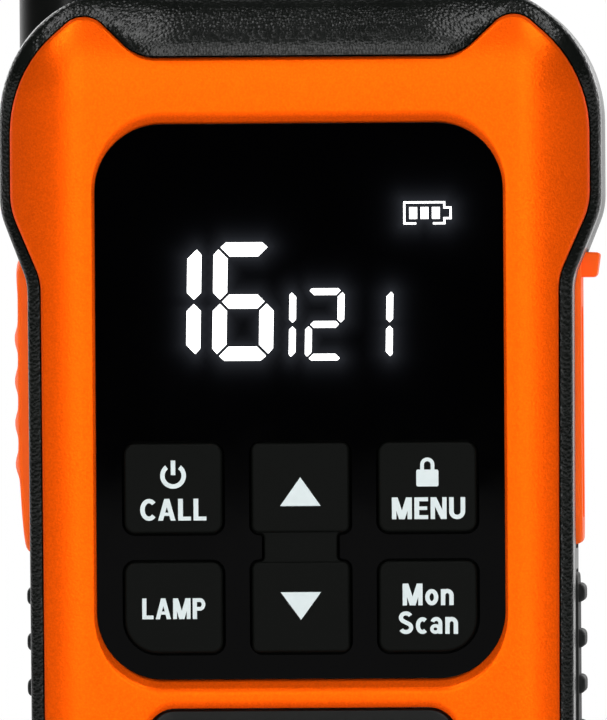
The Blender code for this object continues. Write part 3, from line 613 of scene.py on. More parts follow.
def make_inner_looks(add):
    """Metals, circuit boards, the speaker's cone and clear parts."""
    board = add("board", (0.012, 0.10, 0.045), 0.35)
    traces = board.span(board.cells(2.2, "DISTANCE_TO_EDGE"), 0.02, 0.05)
    board.feed(Base_Color=board.mixed(traces, (0.03, 0.17, 0.08), (0.010, 0.085, 0.04)))
    board.bump(traces, 0.02)

    steel = add("steel", (0.56, 0.57, 0.60), 0.28, 1.0)
    streaks = steel.noise(0.15, 3.0, (1.0, 1.0, 0.08))
    steel.feed(Roughness=steel.span(streaks, 0.3, 0.7, 0.2, 0.36))
    steel.bump(streaks, 0.003)

    brass = add("brass", (0.78, 0.55, 0.22), 0.25, 1.0)
    worn = brass.span(brass.noise(1.5, 4.0), 0.3, 0.7)
    brass.feed(Base_Color=brass.mixed(worn, (0.62, 0.42, 0.16), (0.83, 0.60, 0.26)))
    brass.bump(brass.noise(0.2), 0.003)

    paper = add("cone_paper", (0.022, 0.022, 0.022), 0.85)
    weave = paper.cells(0.45)
    threads = paper.span(weave, 0.2, 0.6)
    paper.feed(Base_Color=paper.mixed(threads, (0.035, 0.035, 0.035), (0.006, 0.006, 0.006)))
    paper.bump(weave, 0.05)

    clear = add("clear", (0.92, 0.94, 0.95), 0.04, Transmission_Weight=1.0, IOR=1.49)
    clear.bump(clear.noise(1.2), 0.004)

    mirror = add("mirror", (0.88, 0.88, 0.89), 0.06, 1.0)
    mirror.feed(Roughness=mirror.span(mirror.noise(1.0), 0.3, 0.7, 0.04, 0.1))

    light = add("segment_light", (0.8, 0.8, 0.8), 0.4)
    uneven = light.span(light.noise(2.0), 0.3, 0.7)
    white = light.mixed(uneven, (0.97, 0.98, 1.0), (1.0, 1.0, 1.0))
    light.feed(Emission_Color=white, Emission_Strength=1.25)


def make_materials():
    """One material for each of the record's slots, and a few more for the parts of one piece."""
    looks = {}

    def add(name, *numbers, **sockets):
        looks[name] = Look(name, *numbers, **sockets)
        return looks[name]

    for name, (colour, roughness, specular, patches, relief) in PLAIN_LOOKS.items():
        look = add(name, colour, roughness, Specular_IOR_Level=specular).mottle(*patches)
        if relief:
            look.bump(look.noise(*relief[:2]), relief[2])
    talk = looks["signal_rubber"]
    # Painted glow: a weak orange-red emission makes the talk key and port flap brighter than the lamps
    # light them
    talk.feed(Emission_Color=tint((1.0, 0.12, 0.01)), Emission_Strength=0.13)
    talk.feed(Subsurface_Weight=0.15, Subsurface_Radius=(0.004, 0.0012, 0.0006))
    make_shell_looks(add)
    make_inner_looks(add)
    return {name: look.material for name, look in looks.items()}


looks = make_materials()


def piece(name, obj, look, *nodes, body="radio", angle=30.0, weighted=False):
    """Names and shades a piece, ties it to its body, and hides the CAD nodes it replaces."""
    obj.name = obj.data.name = name
    obj.data.materials.clear()
    obj.data.materials.append(looks[look])
    obj.data.shade_smooth()
    obj.data.set_sharp_from_angle(angle=math.radians(angle))
    if weighted:
        modifier = obj.modifiers.new("normals", "WEIGHTED_NORMAL")
        modifier.keep_sharp = True
    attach(obj, body)
    if nodes:
        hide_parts(*nodes)
    return obj


# ---- Front of the body ----


def rolled(distance, radius):
    """How far a quarter-round roll of this radius has fallen, at a distance past its start."""
    distance = min(max(0.0, distance), radius * 0.99)
    return radius - math.sqrt(radius * radius - distance * distance)


def front_depth(x, z):
    """The y of the orange cover's surface, as if it ran over the whole front."""
    side = rolled(abs(x) - ROLL_START_X, ROLL_SIDE_RADIUS)
    top = rolled(z - ROLL_START_TOP, ROLL_END_RADIUS)
    base = rolled(ROLL_START_BASE - z, ROLL_END_RADIUS)
    return FRONT_Y + side + top + base


def dropped(amount):
    """The front surface, moved back by an amount."""
    return lambda x, z: front_depth(x, z) + amount


def lip(bm, outline, reaches, sweep, slope_share, wall, gap):
    """A window's lip and wall: a roll that ends in a slope. The reaches are the lip's widths at the
    sides, top and base. Returns its loops, from the wall's far end out to the flat."""
    moved = inset(outline, -1.0)
    widths = []
    for near, far in zip(outline, moved):
        rise = max(-1.0, min(1.0, (far - near).y))
        widths.append(reaches[0] + (reaches[1 if rise > 0 else 2] - reaches[0]) * rise * rise)
    loops = [ring(bm, inset(outline, -gap), dropped(wall))]
    steps = 6
    full = math.radians(sweep)
    curve = [(slope_share * k / 3, slope_share * (1 - k / 3) * math.tan(full), full) for k in range(3)]
    curve += [(slope_share, 0.0, full * (1 - k / steps)) for k in range(steps + 1)]
    for start, slope_fall, angle in curve:
        roll = (1 - slope_share) / math.sin(full)
        reach = start + roll * (math.sin(full) - math.sin(angle))
        fall = slope_fall + roll * (1 - math.cos(angle))
        places = inset(outline, [-gap - width * reach for width in widths])
        depths = [front_depth(p.x, p.y) + width * fall for p, width in zip(places, widths)]
        loops.append(ring(bm, places, depths))
    return bands(bm, loops)


def make_front_cover():
    """The orange cover: a thin rolled shell with rounded edges and two soft-lipped windows."""
    bm = bmesh.new()
    edge = 0.4
    outer = [ring(bm, COVER_OUTLINE, dropped(COVER_THICK))]
    for inward, fall in quarter(5):
        outer.append(ring(bm, inset(COVER_OUTLINE, edge * inward), dropped(edge * fall)))
    bands(bm, outer)
    windows = [
        lip(bm, PANEL_OUTLINE, (0.38, 1.3, 1.65), 48.0, 0.5, COVER_THICK, 0.06),
        lip(bm, GRILLE_OUTLINE, (0.5, 0.8, 0.5), 45.0, 0.3, COVER_THICK, 0.1),
        lip(bm, circle(0.0, MIC_Z, 0.6, 16), (0.2, 0.2, 0.2), 45.0, 0.3, COVER_THICK, 0.0),
    ]
    close(bm, outer, windows, (front_depth, 0.9), (dropped(COVER_THICK), 3.0))
    piece("cover_skin", stored(bm), "orange", "front_cover", angle=50.0)


BUMPER_RISE = (0.15, 1.4)  # how far the top bumper swells out, at its ends and in its middle
RIM_OUTLINE = inset(COVER_OUTLINE, -COVER_GAP)


def rim_drop(x, z):
    """How far the black rim's surface lies behind the cover's surface."""
    away = distance_to([(x, z)], RIM_OUTLINE)[0]
    rise = BUMPER_RISE[0] + (BUMPER_RISE[1] - BUMPER_RISE[0]) * (1 - smoothstep(12.0, 21.5, abs(x)))
    return HOUSING_DROP - rise * smoothstep(104.0, 110.0, z) + 0.25 * (1 - smoothstep(0.0, 0.5, away))


def rim_surface(x, z):
    return front_depth(x, z) + rim_drop(x, z)


def make_front_housing():
    """The black front housing: its rim shows round the cover, the rest lies behind it."""
    bm = bmesh.new()
    room = distance_to(BODY_OUTLINE, RIM_OUTLINE)
    radii = [min(2.6, 0.34 * gap) for gap in room]
    end_y = PARTING_Y - GAP / 2
    loops = [
        ring(bm, inset(BODY_OUTLINE, 0.3), end_y),
        ring(bm, inset(BODY_OUTLINE, 0.1), end_y - 0.1),
        ring(bm, BODY_OUTLINE, end_y - 0.35),
    ]
    for inward, fall in quarter(8):
        moved = inset(BODY_OUTLINE, [radius * inward for radius in radii])
        depths = [rim_surface(p.x, p.y) + radius * fall for p, radius in zip(moved, radii)]
        depths = [min(depth, end_y - 0.4) for depth in depths]
        loops.append(ring(bm, moved, depths))
    bands(bm, loops)
    pocket = [ring(bm, RIM_OUTLINE, rim_surface), ring(bm, RIM_OUTLINE, dropped(POCKET_DROP))]
    bands(bm, pocket)
    fill(bm, [loops[-1], pocket[0]], rim_surface, 0.7)
    fill(bm, [pocket[1]], dropped(POCKET_DROP), 3.0)
    inner = inset(BODY_OUTLINE, WALL)
    cavity = [ring(bm, inner, dropped(CAVITY_DROP)), ring(bm, inner, end_y)]
    for vertex in cavity[0]:
        vertex.co.y = min(vertex.co.y, (end_y - 0.4) * MM)
    bands(bm, cavity + [loops[0]])
    fill(bm, [cavity[0]], dropped(CAVITY_DROP), 3.0)
    housing = stored(bm)
    carve(
        housing,
        slab(inset(PANEL_OUTLINE, -GAP), BEFORE_FRONT, PANEL_BACK + GAP),
        slab(inset(GRILLE_OUTLINE, -GAP), BEFORE_FRONT, GRILLE_BACK + GAP),
        slab(inset(PANEL_OUTLINE, 1.5), BEFORE_FRONT, -10.0),
        rod("Y", (0.0, SPEAKER_Z), SPEAKER_HOLE, BEFORE_FRONT, -10.0),
        rod("Y", (0.0, MIC_Z), 0.8, BEFORE_FRONT, -10.0, 16),
    )
    for place in SCREW_PLACES:
        fuse(housing, rod("Y", place, 2.7, -13.0, end_y - 0.2, 24))
        carve(housing, rod("Y", place, SCREW_BORE, -11.0, -4.0, 16))
    piece("front_housing_skin", housing, "black_shell", "front_housing", angle=40.0)


# ---- Display ----


def digit(x0, x1, z0, z1, thick, gap, lit):
    """The lit bars of one seven-segment digit: a top, b and c right, d base, e and f left, g middle.

    The bars are first drawn touching, with the digit's outer corners cut off, then each is made
    smaller by half the gap. The digit leans by a small slant."""
    middle = (z0 + z1) / 2
    corner, cut = 0.36 * thick, 0.78 * thick
    half = thick / 2
    outer_left, outer_right = (x0 + corner, z1 - corner), (x1 - corner, z1 - corner)
    inner_left, inner_right = (x0 + thick, z1 - thick), (x1 - thick, z1 - thick)
    top = [outer_left, (x0 + cut, z1), (x1 - cut, z1), outer_right, inner_right, inner_left]
    upper_left = [
        outer_left,
        inner_left,
        (x0 + thick, middle + half),
        (x0 + half, middle),
        (x0, middle + half),
        (x0, z1 - cut),
    ]
    centre = [
        (x0 + half, middle),
        (x0 + thick, middle + half),
        (x1 - thick, middle + half),
        (x1 - half, middle),
        (x1 - thick, middle - half),
        (x0 + thick, middle - half),
    ]

    def turned(shape, across=False, over=False):
        return [(x0 + x1 - u if across else u, z0 + z1 - v if over else v) for u, v in shape]

    bars = {
        "a": top,
        "b": turned(upper_left, across=True),
        "c": turned(upper_left, across=True, over=True),
        "d": turned(top, over=True),
        "e": turned(upper_left, over=True),
        "f": upper_left,
        "g": centre,
    }
    shapes = []
    for name in lit:
        small = inset([Vector(place) for place in bars[name]], gap / 2)
        shapes.append([Vector((p.x + DIGIT_SLANT * (p.y - middle), p.y)) for p in small])
    return shapes


def bar(x0, x1, z0, z1):
    return rectangle(x0, x1, z0, z1)


DIGIT_SLANT = 0.02
LARGE_DIGIT = (79.86, 92.11, 1.72, 0.28)  # base, top, bar thickness and gap
SMALL_DIGIT = (79.86, 87.39, 0.92, 0.23)


def display_shapes():
    """All the lit bars of the display: the large channel number, and a small code and number."""
    shapes = digit(-16.24, -9.80, *LARGE_DIGIT, "bc")
    shapes += digit(-8.88, -2.44, *LARGE_DIGIT, "acdefg")
    shapes += digit(-1.16, 3.01, *SMALL_DIGIT, "ef")
    shapes += digit(0.47, 4.64, *SMALL_DIGIT, "abdeg")
    shapes += digit(5.40, 9.57, *SMALL_DIGIT, "bc")
    return shapes


BATTERY_ICON = (10.57, 14.82, 93.66, 95.99)
ICON_STROKE = 0.21


def battery_shapes():
    """A battery outline with an open terminal, a break in its base line, and three full cells."""
    x0, x1, z0, z1 = BATTERY_ICON
    s = ICON_STROKE
    pole_x, pole_low, pole_high = x1 + 0.63, z0 + 0.51, z1 - 0.53
    shapes = [
        bar(x0, x1, z1 - s, z1),
        bar(x0, x0 + 1.3, z0, z0 + s),
        bar(x1 - 1.26, x1, z0, z0 + s),
        bar(x0, x0 + s, z0 + s, z1 - s),
        bar(x1 - s, x1, z0 + s, pole_low + s),
        bar(x1 - s, x1, pole_high - s, z1 - s),
        bar(x1, pole_x, pole_high - s, pole_high),
        bar(x1, pole_x, pole_low, pole_low + s),
        bar(pole_x - s, pole_x, pole_low + s, pole_high - s),
    ]
    width, pitch = 0.80, 1.145
    for k in range(3):
        start = x0 + 0.6 + k * pitch
        shapes.append(bar(start, start + width, z0 + 0.55, z1 - 0.58))
    return shapes


def inlay(shapes, soft=0.0):
    """Thin flat shapes on the front of the window; soft is the radius of their corners."""
    bm = bmesh.new()
    front = PANEL_FRONT - PRINT_RISE
    for shape in shapes:
        outline = rounded([(p.x, p.y, soft) for p in shape], 30.0) if soft else shape
        loops = bands(bm, [ring(bm, outline, front), ring(bm, outline, front + PRINT_THICK)])
        bm.faces.new(loops[0])
        bm.faces.new(loops[1])
    return stored(bm)


def make_display_panel():
    """The glossy window with its key openings. Its front carries a painted glow near the lit digits, an
    emission that stands in for their bloom.
    """
    bm = bmesh.new()
    outer = bands(bm, [ring(bm, PANEL_OUTLINE, PANEL_BACK), ring(bm, PANEL_OUTLINE, PANEL_FRONT)])
    holes = []
    for outline in KEY_OUTLINES.values():
        room = inset(outline, -0.24)
        holes.append(bands(bm, [ring(bm, room, PANEL_BACK), ring(bm, room, PANEL_FRONT)]))
    close(bm, outer, holes, (PANEL_FRONT, 0.6), (PANEL_BACK, 4.0))
    panel = stored(bm)
    glow = panel.data.attributes.new("glow", "FLOAT", "POINT")
    spots = np.array([(v.co.x, v.co.z) for v in panel.data.vertices]) / MM
    near = np.full(len(spots), 99.0)
    for shape in display_shapes() + battery_shapes():
        near = np.minimum(near, distance_to(spots, shape))
    # Painted glow: a bright halo close to each lit bar and a wider faint one, both fading with distance
    glow.data.foreach_set("value", 0.03 * np.exp(-near / 0.7) + 0.0012 * np.exp(-near / 3.0))
    piece("window_panel", panel, "black_gloss", "display_panel", angle=40.0)
    digits = inlay(display_shapes(), 0.06)
    piece("display_digits", digits, "segment_light", angle=60.0)
    icon = inlay(battery_shapes())
    piece("battery_icon", icon, "segment_light", angle=60.0)


# ---- Keys and their legends ----


def make_keys():
    """The four keys, and the rocker with its two key faces that stand out of a lower neck."""
    for name, outline in KEY_OUTLINES.items():
        base = [(FLANGE_Y[1], -FLANGE_WIDTH), (FLANGE_Y[0], -FLANGE_WIDTH), (FLANGE_Y[0], 0.0)]
        if name == "channel_rocker":
            cap = stack(outline, base + edge_rings(KEY_FRONT + NECK_STEP, -1, 0.2, 4))
            for row in (KEY_LOW_ROW, KEY_TOP_ROW):
                top = inset(key_outline(0, row, CORNER_RADIUS), 0.02)
                fuse(cap, stack(top, [(FLANGE_Y[0] - 0.2, 0.0)] + edge_rings(KEY_FRONT, -1, 0.3, 5)))
        else:
            cap = stack(outline, base + edge_rings(KEY_FRONT, -1, 0.3, 5))
        piece(name + "_cap", cap, "key_rubber", name, body=name, angle=40.0, weighted=True)


def stroke(path, thick):
    """A bar of constant thickness along a smooth path, as one closed outline."""
    path = [Vector(place) for place in path]
    sides = ([], [])
    for i, here in enumerate(path):
        along = (path[min(i + 1, len(path) - 1)] - path[max(i - 1, 0)]).normalized()
        across = Vector((-along.y, along.x)) * thick / 2
        sides[0].append(here + across)
        sides[1].append(here - across)
    return sides[0] + sides[1][::-1]


def bend(u, v, wide, tall, start, end, count=20):
    """Points on an ellipse; the angles are in degrees from +u, and the sizes are its half-axes."""
    turns = np.radians(np.linspace(start, end, count + 1))
    return [(u + wide * math.cos(t), v + tall * math.sin(t)) for t in turns]


def loop(u, v, wide, tall, thick):
    """A closed ring of a letter, as two overlapping halves."""
    return [stroke(bend(u, v, wide, tall, turn, turn + 200), thick) for turn in (0, 180)]


def bowl(path):
    """A bowl whose ends run level to the stem."""
    return stroke([(0.0, path[0][1])] + path + [(0.0, path[-1][1])], LIMB)


def spine(upper, lower):
    """Two bends joined where they pass into each other."""
    return stroke(bend(*upper)[:-3] + bend(*lower)[3:], LIMB)


def arch(start, v, wide, tall, turn, foot, thick):
    """A small letter's arch, down to its foot on the line."""
    return stroke(start + bend(0.28, v, wide, tall, turn, 0) + [(foot, 0.0)], thick)


STEM = 0.21  # the thickness of upright strokes, as a share of the capital height
LIMB = 0.18  # the thickness of level strokes


def leg(base, top, wide=STEM, low=0.0, high=1.0):
    """An upright or slanted stroke with level ends; base and top are where its left edge starts."""
    corners = ((base, low), (base + wide, low), (top + wide, high), (top, high))
    return [Vector(place) for place in corners]


LEVEL = LIMB / 2
SMALL = 0.74  # the height of small letters

# Each letter's width and its overlapping strokes, for a capital height of 1
GLYPHS = {
    "C": (0.67, [stroke(bend(0.385, 0.5, 0.285, 0.405, 43, 317), 0.2)]),
    "A": (0.76, [leg(0, 0.27), leg(0.55, 0.28), bar(0.14, 0.62, 0.22, 0.37)]),
    "L": (0.56, [leg(0, 0), bar(0, 0.56, 0, LIMB)]),
    "M": (0.87, [leg(0, 0, 0.19), leg(0.68, 0.68, 0.19), leg(0.31, 0.0, 0.25), leg(0.31, 0.62, 0.25)]),
    "E": (0.6, [leg(0, 0), bar(0, 0.6, 0, LIMB), bar(0, 0.56, 0.42, 0.58), bar(0, 0.6, 1 - LIMB, 1)]),
    "N": (0.7, [leg(0, 0, 0.19), leg(0.51, 0.51, 0.19), leg(0.45, 0.0, 0.25)]),
    "U": (0.7, [stroke([(0.1, 1.0)] + bend(0.35, 0.34, 0.25, 0.25, 180, 360) + [(0.6, 1.0)], 0.2)]),
    "P": (0.64, [leg(0, 0), bowl(bend(0.36, 0.7, 0.18, 0.3 - LEVEL, 90, -90))]),
    "S": (0.64, [spine((0.32, 0.725, 0.215, 0.185, 25, 270), (0.32, 0.285, 0.225, 0.195, 90, -155))]),
    "o": (0.58, loop(0.29, SMALL / 2, 0.19, SMALL / 2 - LEVEL, 0.19)),
    "n": (0.555, [leg(0, 0, 0.19, 0.0, SMALL), arch([(0.1, 0.3)], 0.45, 0.18, 0.2, 180, 0.46, 0.19)]),
    "c": (0.50, [stroke(bend(0.29, SMALL / 2, 0.2, SMALL / 2 - LEVEL, 50, 310), 0.18)]),
    "a": (0.56, loop(0.24, 0.22, 0.155, 0.14, 0.15) + [arch([], 0.47, 0.175, 0.19, 160, 0.455, 0.17)]),
}


def lettering(text, middle_x, base_z, width, height, space=0.11):
    """A word as flat outlines in the x-z plane, fitted to a width and a capital height."""
    strokes = []
    reach = 0.0
    for letter in text:
        wide, shapes = GLYPHS[letter]
        strokes += [[Vector((p.x + reach, p.y)) for p in shape] for shape in shapes]
        reach += wide + space
    grow = width / (reach - space)
    start = middle_x - width / 2
    return [[Vector((start + p.x * grow, base_z + p.y * height)) for p in shape] for shape in strokes]


def printed(shapes):
    """Overlapping shapes as one thin closed solid on the front of the keys."""
    corners = [p for shape in shapes for p in shape]
    places, _, faces, _, _, _ = delaunay_2d_cdt(corners, sides_of(shapes), [], 0, 0.0005)
    middles = np.array([sum((places[k] for k in face), Vector((0, 0))) / 3 for face in faces])
    covered = np.zeros(len(faces), bool)
    for shape in shapes:
        covered |= inside(middles, shape)
    bm = bmesh.new()
    verts = ring(bm, places, KEY_FRONT - PRINT_RISE)
    for face, kept in zip(faces, covered):
        if kept:
            bm.faces.new([verts[k] for k in face])
    bmesh.ops.delete(bm, geom=[v for v in bm.verts if not v.link_faces], context="VERTS")
    bmesh.ops.recalc_face_normals(bm, faces=bm.faces)
    made = bmesh.ops.extrude_face_region(bm, geom=bm.faces[:], use_keep_orig=True)["geom"]
    for item in made:
        if isinstance(item, bmesh.types.BMVert):
            item.co.y += PRINT_THICK * MM
    return stored(bm)


def arc_strip(u, v, radius, thick, start, end, count=24):
    """A bent bar round a centre, as one closed outline; angles in degrees from +u."""
    outer, inner = radius + thick / 2, radius - thick / 2
    far = bend(u, v, outer, outer, start, end, count)
    near = bend(u, v, inner, inner, start, end, count)
    return [Vector(place) for place in far + near[::-1]]


def power_icon(x, z):
    """A broken ring with an upright bar in its gap."""
    broken_ring = arc_strip(x, z + 0.08, 1.08, 0.46, 127.0, 413.0)
    return [broken_ring, bar(x - 0.23, x + 0.23, z + 0.15, z + 1.62)]


def padlock_icon(x, z):
    """A square body and a shackle."""
    outer, inner, foot, crown = 0.72, 0.34, z + 1.6, z + 2.2
    shackle = [(x - outer, foot)] + bend(x, crown, outer, outer, 180, 0, 12) + [(x + outer, foot)]
    shackle += [(x + inner, foot)] + bend(x, crown, inner, inner, 0, 180, 12) + [(x - inner, foot)]
    body = rectangle(x - 1.12, x + 1.12, z, z + 1.7, 0.16, 30.0)
    return [body, [Vector(place) for place in shackle]]


def arrow(x, z0, z1, half):
    """A triangle with its point at z1."""
    return [[Vector((x - half, z0)), Vector((x + half, z0)), Vector((x, z1))]]


def make_legends():
    """The words and signs printed on the keys."""
    left, right = -KEY_COLUMN, KEY_COLUMN
    call = lettering("CALL", left, 63.9, 6.7, 2.2) + power_icon(left, 68.35)
    menu = lettering("MENU", right + 0.1, 63.9, 7.4, 2.2) + padlock_icon(right, 67.2)
    scan = lettering("Mon", right, 55.2, 5.15, 2.2) + lettering("Scan", right, 52.3, 6.0, 2.3)
    legends = {
        "call_legend": ("call_key", call),
        "menu_legend": ("menu_key", menu),
        "lamp_legend": ("lamp_key", lettering("LAMP", left, 53.95, 6.4, 2.1)),
        "scan_legend": ("scan_key", scan),
        "rocker_legend": ("channel_rocker", arrow(0.0, 65.3, 68.2, 2.05) + arrow(0.0, 56.6, 53.8, 2.05)),
    }
    for name, (body, shapes) in legends.items():
        piece(name, printed(shapes), "ink", body=body, angle=60.0)


# ---- Speaker grille ----


def make_grille():
    """The speaker's grille, with level slots whose ends lie on a circle."""
    bm = bmesh.new()
    outer = [ring(bm, GRILLE_OUTLINE, GRILLE_BACK)]
    for along, inward in edge_rings(GRILLE_FRONT, -1, 0.35, 4):
        outer.append(ring(bm, inset(GRILLE_OUTLINE, inward), along))
    bands(bm, outer)
    slots = []
    for k in range(SLOT_COUNT):
        rise = (k - (SLOT_COUNT - 1) / 2) * SLOT_PITCH
        half = math.sqrt(SLOT_REACH**2 - rise**2)
        z = SPEAKER_Z + rise
        outline = rectangle(-half, half, z - SLOT_HEIGHT / 2, z + SLOT_HEIGHT / 2, SLOT_HEIGHT * 0.49)
        outline = divided(outline, 1.5)
        loops = [ring(bm, outline, GRILLE_BACK)]
        for inward, depth in ((0.0, 0.3), (-0.09, 0.09), (-0.3, 0.0)):
            loops.append(ring(bm, inset(outline, inward), GRILLE_FRONT + depth))
        slots.append(bands(bm, loops))
    close(bm, outer, slots, (GRILLE_FRONT, 1.0), (GRILLE_BACK, 3.0))
    piece("grille_plate", stored(bm), "black_smooth", "speaker_grille", angle=40.0)


# ---- Rear of the body ----


def rear_rings(start):
    """The rear housing's rings, from the seam to the flat back, with a smooth roll at the end."""
    rings = [(start, 0.3), (start + 0.1, 0.1), (start + 0.35, 0.0), (2.0, 0.0)]
    steps = 14
    for k in range(steps + 1):
        angle = math.pi / 2 * k / steps
        rings.append((8.5 + (BACK_Y - 8.5) * math.sin(angle), 5.2 * (1 - math.cos(angle))))
    return rings


def side_pocket(side, y, z, floor, radius):
    """A rounded pocket cut into a side wall, open outwards; side is -1 or 1."""
    outline = rectangle(y[0] - GAP, y[1] + GAP, z[0] - GAP, z[1] + GAP, radius + GAP)
    return slab(outline, side * floor, side * BEYOND_SIDE, "X")


def outer_openings():
    """The battery bay, the side pockets with their wall holes, the lamp's hole and the antenna's."""
    flap_pocket_z = (FLAP_Z[0] - 0.8, TAB_Z[1])
    seat = inset(DOOR_OUTLINE, -0.2)
    seat_rings = [(DOOR_INNER - 1.2, 0.0), (BACK_Y - 0.25, 0.0)]
    seat_rings += [(BACK_Y + 0.05, -0.3), (BEHIND_BACK, -0.3)]
    lamp_rings = [(110.0, 0.0), (BODY_TOP - 0.3, 0.0), (BODY_TOP + 0.1, -0.4), (ABOVE_TOP, -0.4)]
    return [
        stack(seat, seat_rings),
        slab(rectangle(-BAY_HALF, BAY_HALF, *BAY_Z, 1.5), BAY_FLOOR, BEHIND_BACK),
        rod("Y", (0.0, LOCK_Z), LOCK_RADIUS + 0.5, 9.0, BEHIND_BACK),
        side_pocket(-1, SIDE_KEY_Y, TALK_Z, SIDE_POCKET, TALK_RADIUS),
        slab(rectangle(0.2, 3.8, 74.2, 79.8, 0.8), -30.0, -20.0, "X"),
        side_pocket(1, SIDE_KEY_Y, flap_pocket_z, SIDE_POCKET, 2.5),
        rod("X", (PORT_Y, JACK_Z), 2.2, 20.0, 30.0),
        slab(rectangle(-0.1, 4.1, USB_Z - 5.1, USB_Z + 5.1, 1.9), 20.0, 30.0, "X"),
        side_pocket(-1, GRIP_Y, GRIP_Z, GRIP_POCKET, GRIP_RADIUS),
        side_pocket(1, GRIP_Y, GRIP_Z, GRIP_POCKET, GRIP_RADIUS),
        stack(circle(*LAMP_AXIS, LAMP_RADIUS + 0.2), lamp_rings, "Z"),
        rod("Z", ANTENNA_AXIS, ANTENNA_RADIUS + 0.2, 100.0, ABOVE_TOP),
    ]


def make_rear_housing():
    """The rear shell, hollowed, then given its bosses, then drilled."""
    start = PARTING_Y + GAP / 2
    housing = stack(BODY_OUTLINE, rear_rings(start))
    inner = inset(BODY_OUTLINE, WALL)
    upper = stack(inner, [(-8.0, 0.0), (8.5, 0.0), (11.0, 0.9), (12.7, 2.6)])
    hollows = [
        slab(inner, -8.0, 1.2),
        common(upper, block((-40.0, 40.0), (-20.0, 30.0), (60.7, 130.0))),
        block((-25.0, -21.8), (0.0, 10.5), (16.5, 57.0)),
        block((21.8, 25.0), (0.0, 10.5), (16.5, 57.0)),
    ]
    bosses = [rod("Y", place, 2.8, 9.5, 13.0, 24) for place in CLIP_SCREW_PLACES]
    for x, z in SCREW_PLACES:
        bosses.append(rod("Y", (x, z), 3.0, start, 12.8 if z > 60.0 else 2.0, 24))
    carve(housing, *hollows, *outer_openings())
    fuse(housing, *bosses)
    holes = [rod("Y", place, SCREW_BORE, 10.5, BEHIND_BACK, 16) for place in CLIP_SCREW_PLACES]
    for place in SCREW_PLACES:
        holes.append(rod("Y", place, SCREW_BORE, -8.0, BEHIND_BACK, 16))
        holes.append(rod("Y", place, SCREW_WELL, SCREW_HEAD_Y[0] - GAP, BEHIND_BACK, 32))
    carve(housing, *holes)
    piece("rear_housing_skin", housing, "rear_shell", "rear_housing", angle=32.0, weighted=True)


def make_grips():
    """The two rubber side grips with their ribs."""
    for name, side in (("left_grip", -1), ("right_grip", 1)):
        outline = rectangle(*GRIP_Y, *GRIP_Z, GRIP_RADIUS)
        grip = pillow(outline, side * (GRIP_POCKET + GAP), side * GRIP_OUTER, 0.0, 0.35, "X")
        for k in range(RIB_COUNT):
            z = RIB_TOP_Z - k * RIB_PITCH
            rib = rectangle(-3.4, 7.4, z - 0.95, z + 0.95, 0.9, 15.0)
            fuse(grip, pillow(rib, side * 27.2, side * 28.4, 0.0, 0.6, "X", 6))
        piece(name + "_pad", grip, "grip_rubber", name, angle=40.0, weighted=True)


def make_screw(name, node, place, head_y, tip_y):
    """A cross-head screw with a domed head and a thread of fine ridges."""
    low, high = head_y
    head = stack(circle(*place, SCREW_HEAD, 36), [(low, 0.0)] + edge_rings(high, 1, 0.7, 6))
    rings = []
    pitch, groove = 0.3, 0.16
    for k in range(int((low - tip_y) / pitch)):
        y = tip_y + pitch * k
        rings += [(y, groove if k else 0.5), (y + pitch / 2, 0.0)]
    rings.append((low + 0.2, groove))
    fuse(head, stack(circle(*place, 1.0, 24), rings))
    x, z = place
    for long, short in ((1.15, 0.22), (0.22, 1.15)):
        cross = rectangle(x - long, x + long, z - short, z + short)
        carve(head, stack(cross, [(high - 0.75, 0.15), (high + 0.5, -0.05)]))
    piece(name, head, "steel", node, angle=35.0)


def make_screws():
    for number, place in enumerate(SCREW_PLACES, 1):
        make_screw(f"body_screw_{number}", f"housing_screw_{number}", place, SCREW_HEAD_Y, -9.5)
    clip_head = (CLIP_PLATE_Y[1] + GAP, CLIP_PLATE_Y[1] + 1.5)
    for side, place in zip(("left", "right"), CLIP_SCREW_PLACES):
        make_screw(f"clip_bolt_{side}", f"clip_screw_{side}", place, clip_head, 11.0)


def make_battery_door():
    """The door with a ribbed grip patch, its lock's hole and a turning lock with a coin slot."""
    door = pillow(DOOR_OUTLINE, DOOR_INNER, BACK_Y, 0.0, 0.5)
    carve(door, rod("Y", (0.0, LOCK_Z), LOCK_RADIUS + 0.15, 10.0, BEHIND_BACK))
    depth = 0.35
    for k in range(7):
        z = 46.0 + 1.5 * k
        groove = rectangle(-9.0, 9.0, z - depth, z + depth, 0.33, 30.0)
        carve(door, stack(groove, [(BACK_Y - depth, 0.15), (BACK_Y + 0.1, -0.08)]))
    shade = {"angle": 32.0, "weighted": True}
    piece("door_plate", door, "rear_shell", "battery_door", body="battery_door", **shade)
    middle = (0.0, LOCK_Z)
    lock = pillow(circle(*middle, LOCK_RADIUS, 64), 13.1, 14.6, 0.0, 0.35)
    fuse(lock, rod("Y", middle, 1.5, 10.4, 13.3))
    fuse(lock, block((-3.3, 3.3), (10.0, 11.2), (LOCK_Z - 1.1, LOCK_Z + 1.1)))
    slot = rectangle(-2.8, 2.8, LOCK_Z - 0.55, LOCK_Z + 0.55, 0.5, 22.5)
    carve(lock, stack(slot, [(13.8, 0.0), (14.5, 0.0), (14.7, -0.15)]))
    piece("coin_lock", lock, "steel", "door_lock", body="door_lock", angle=35.0, weighted=True)


# ---- Belt clip ----


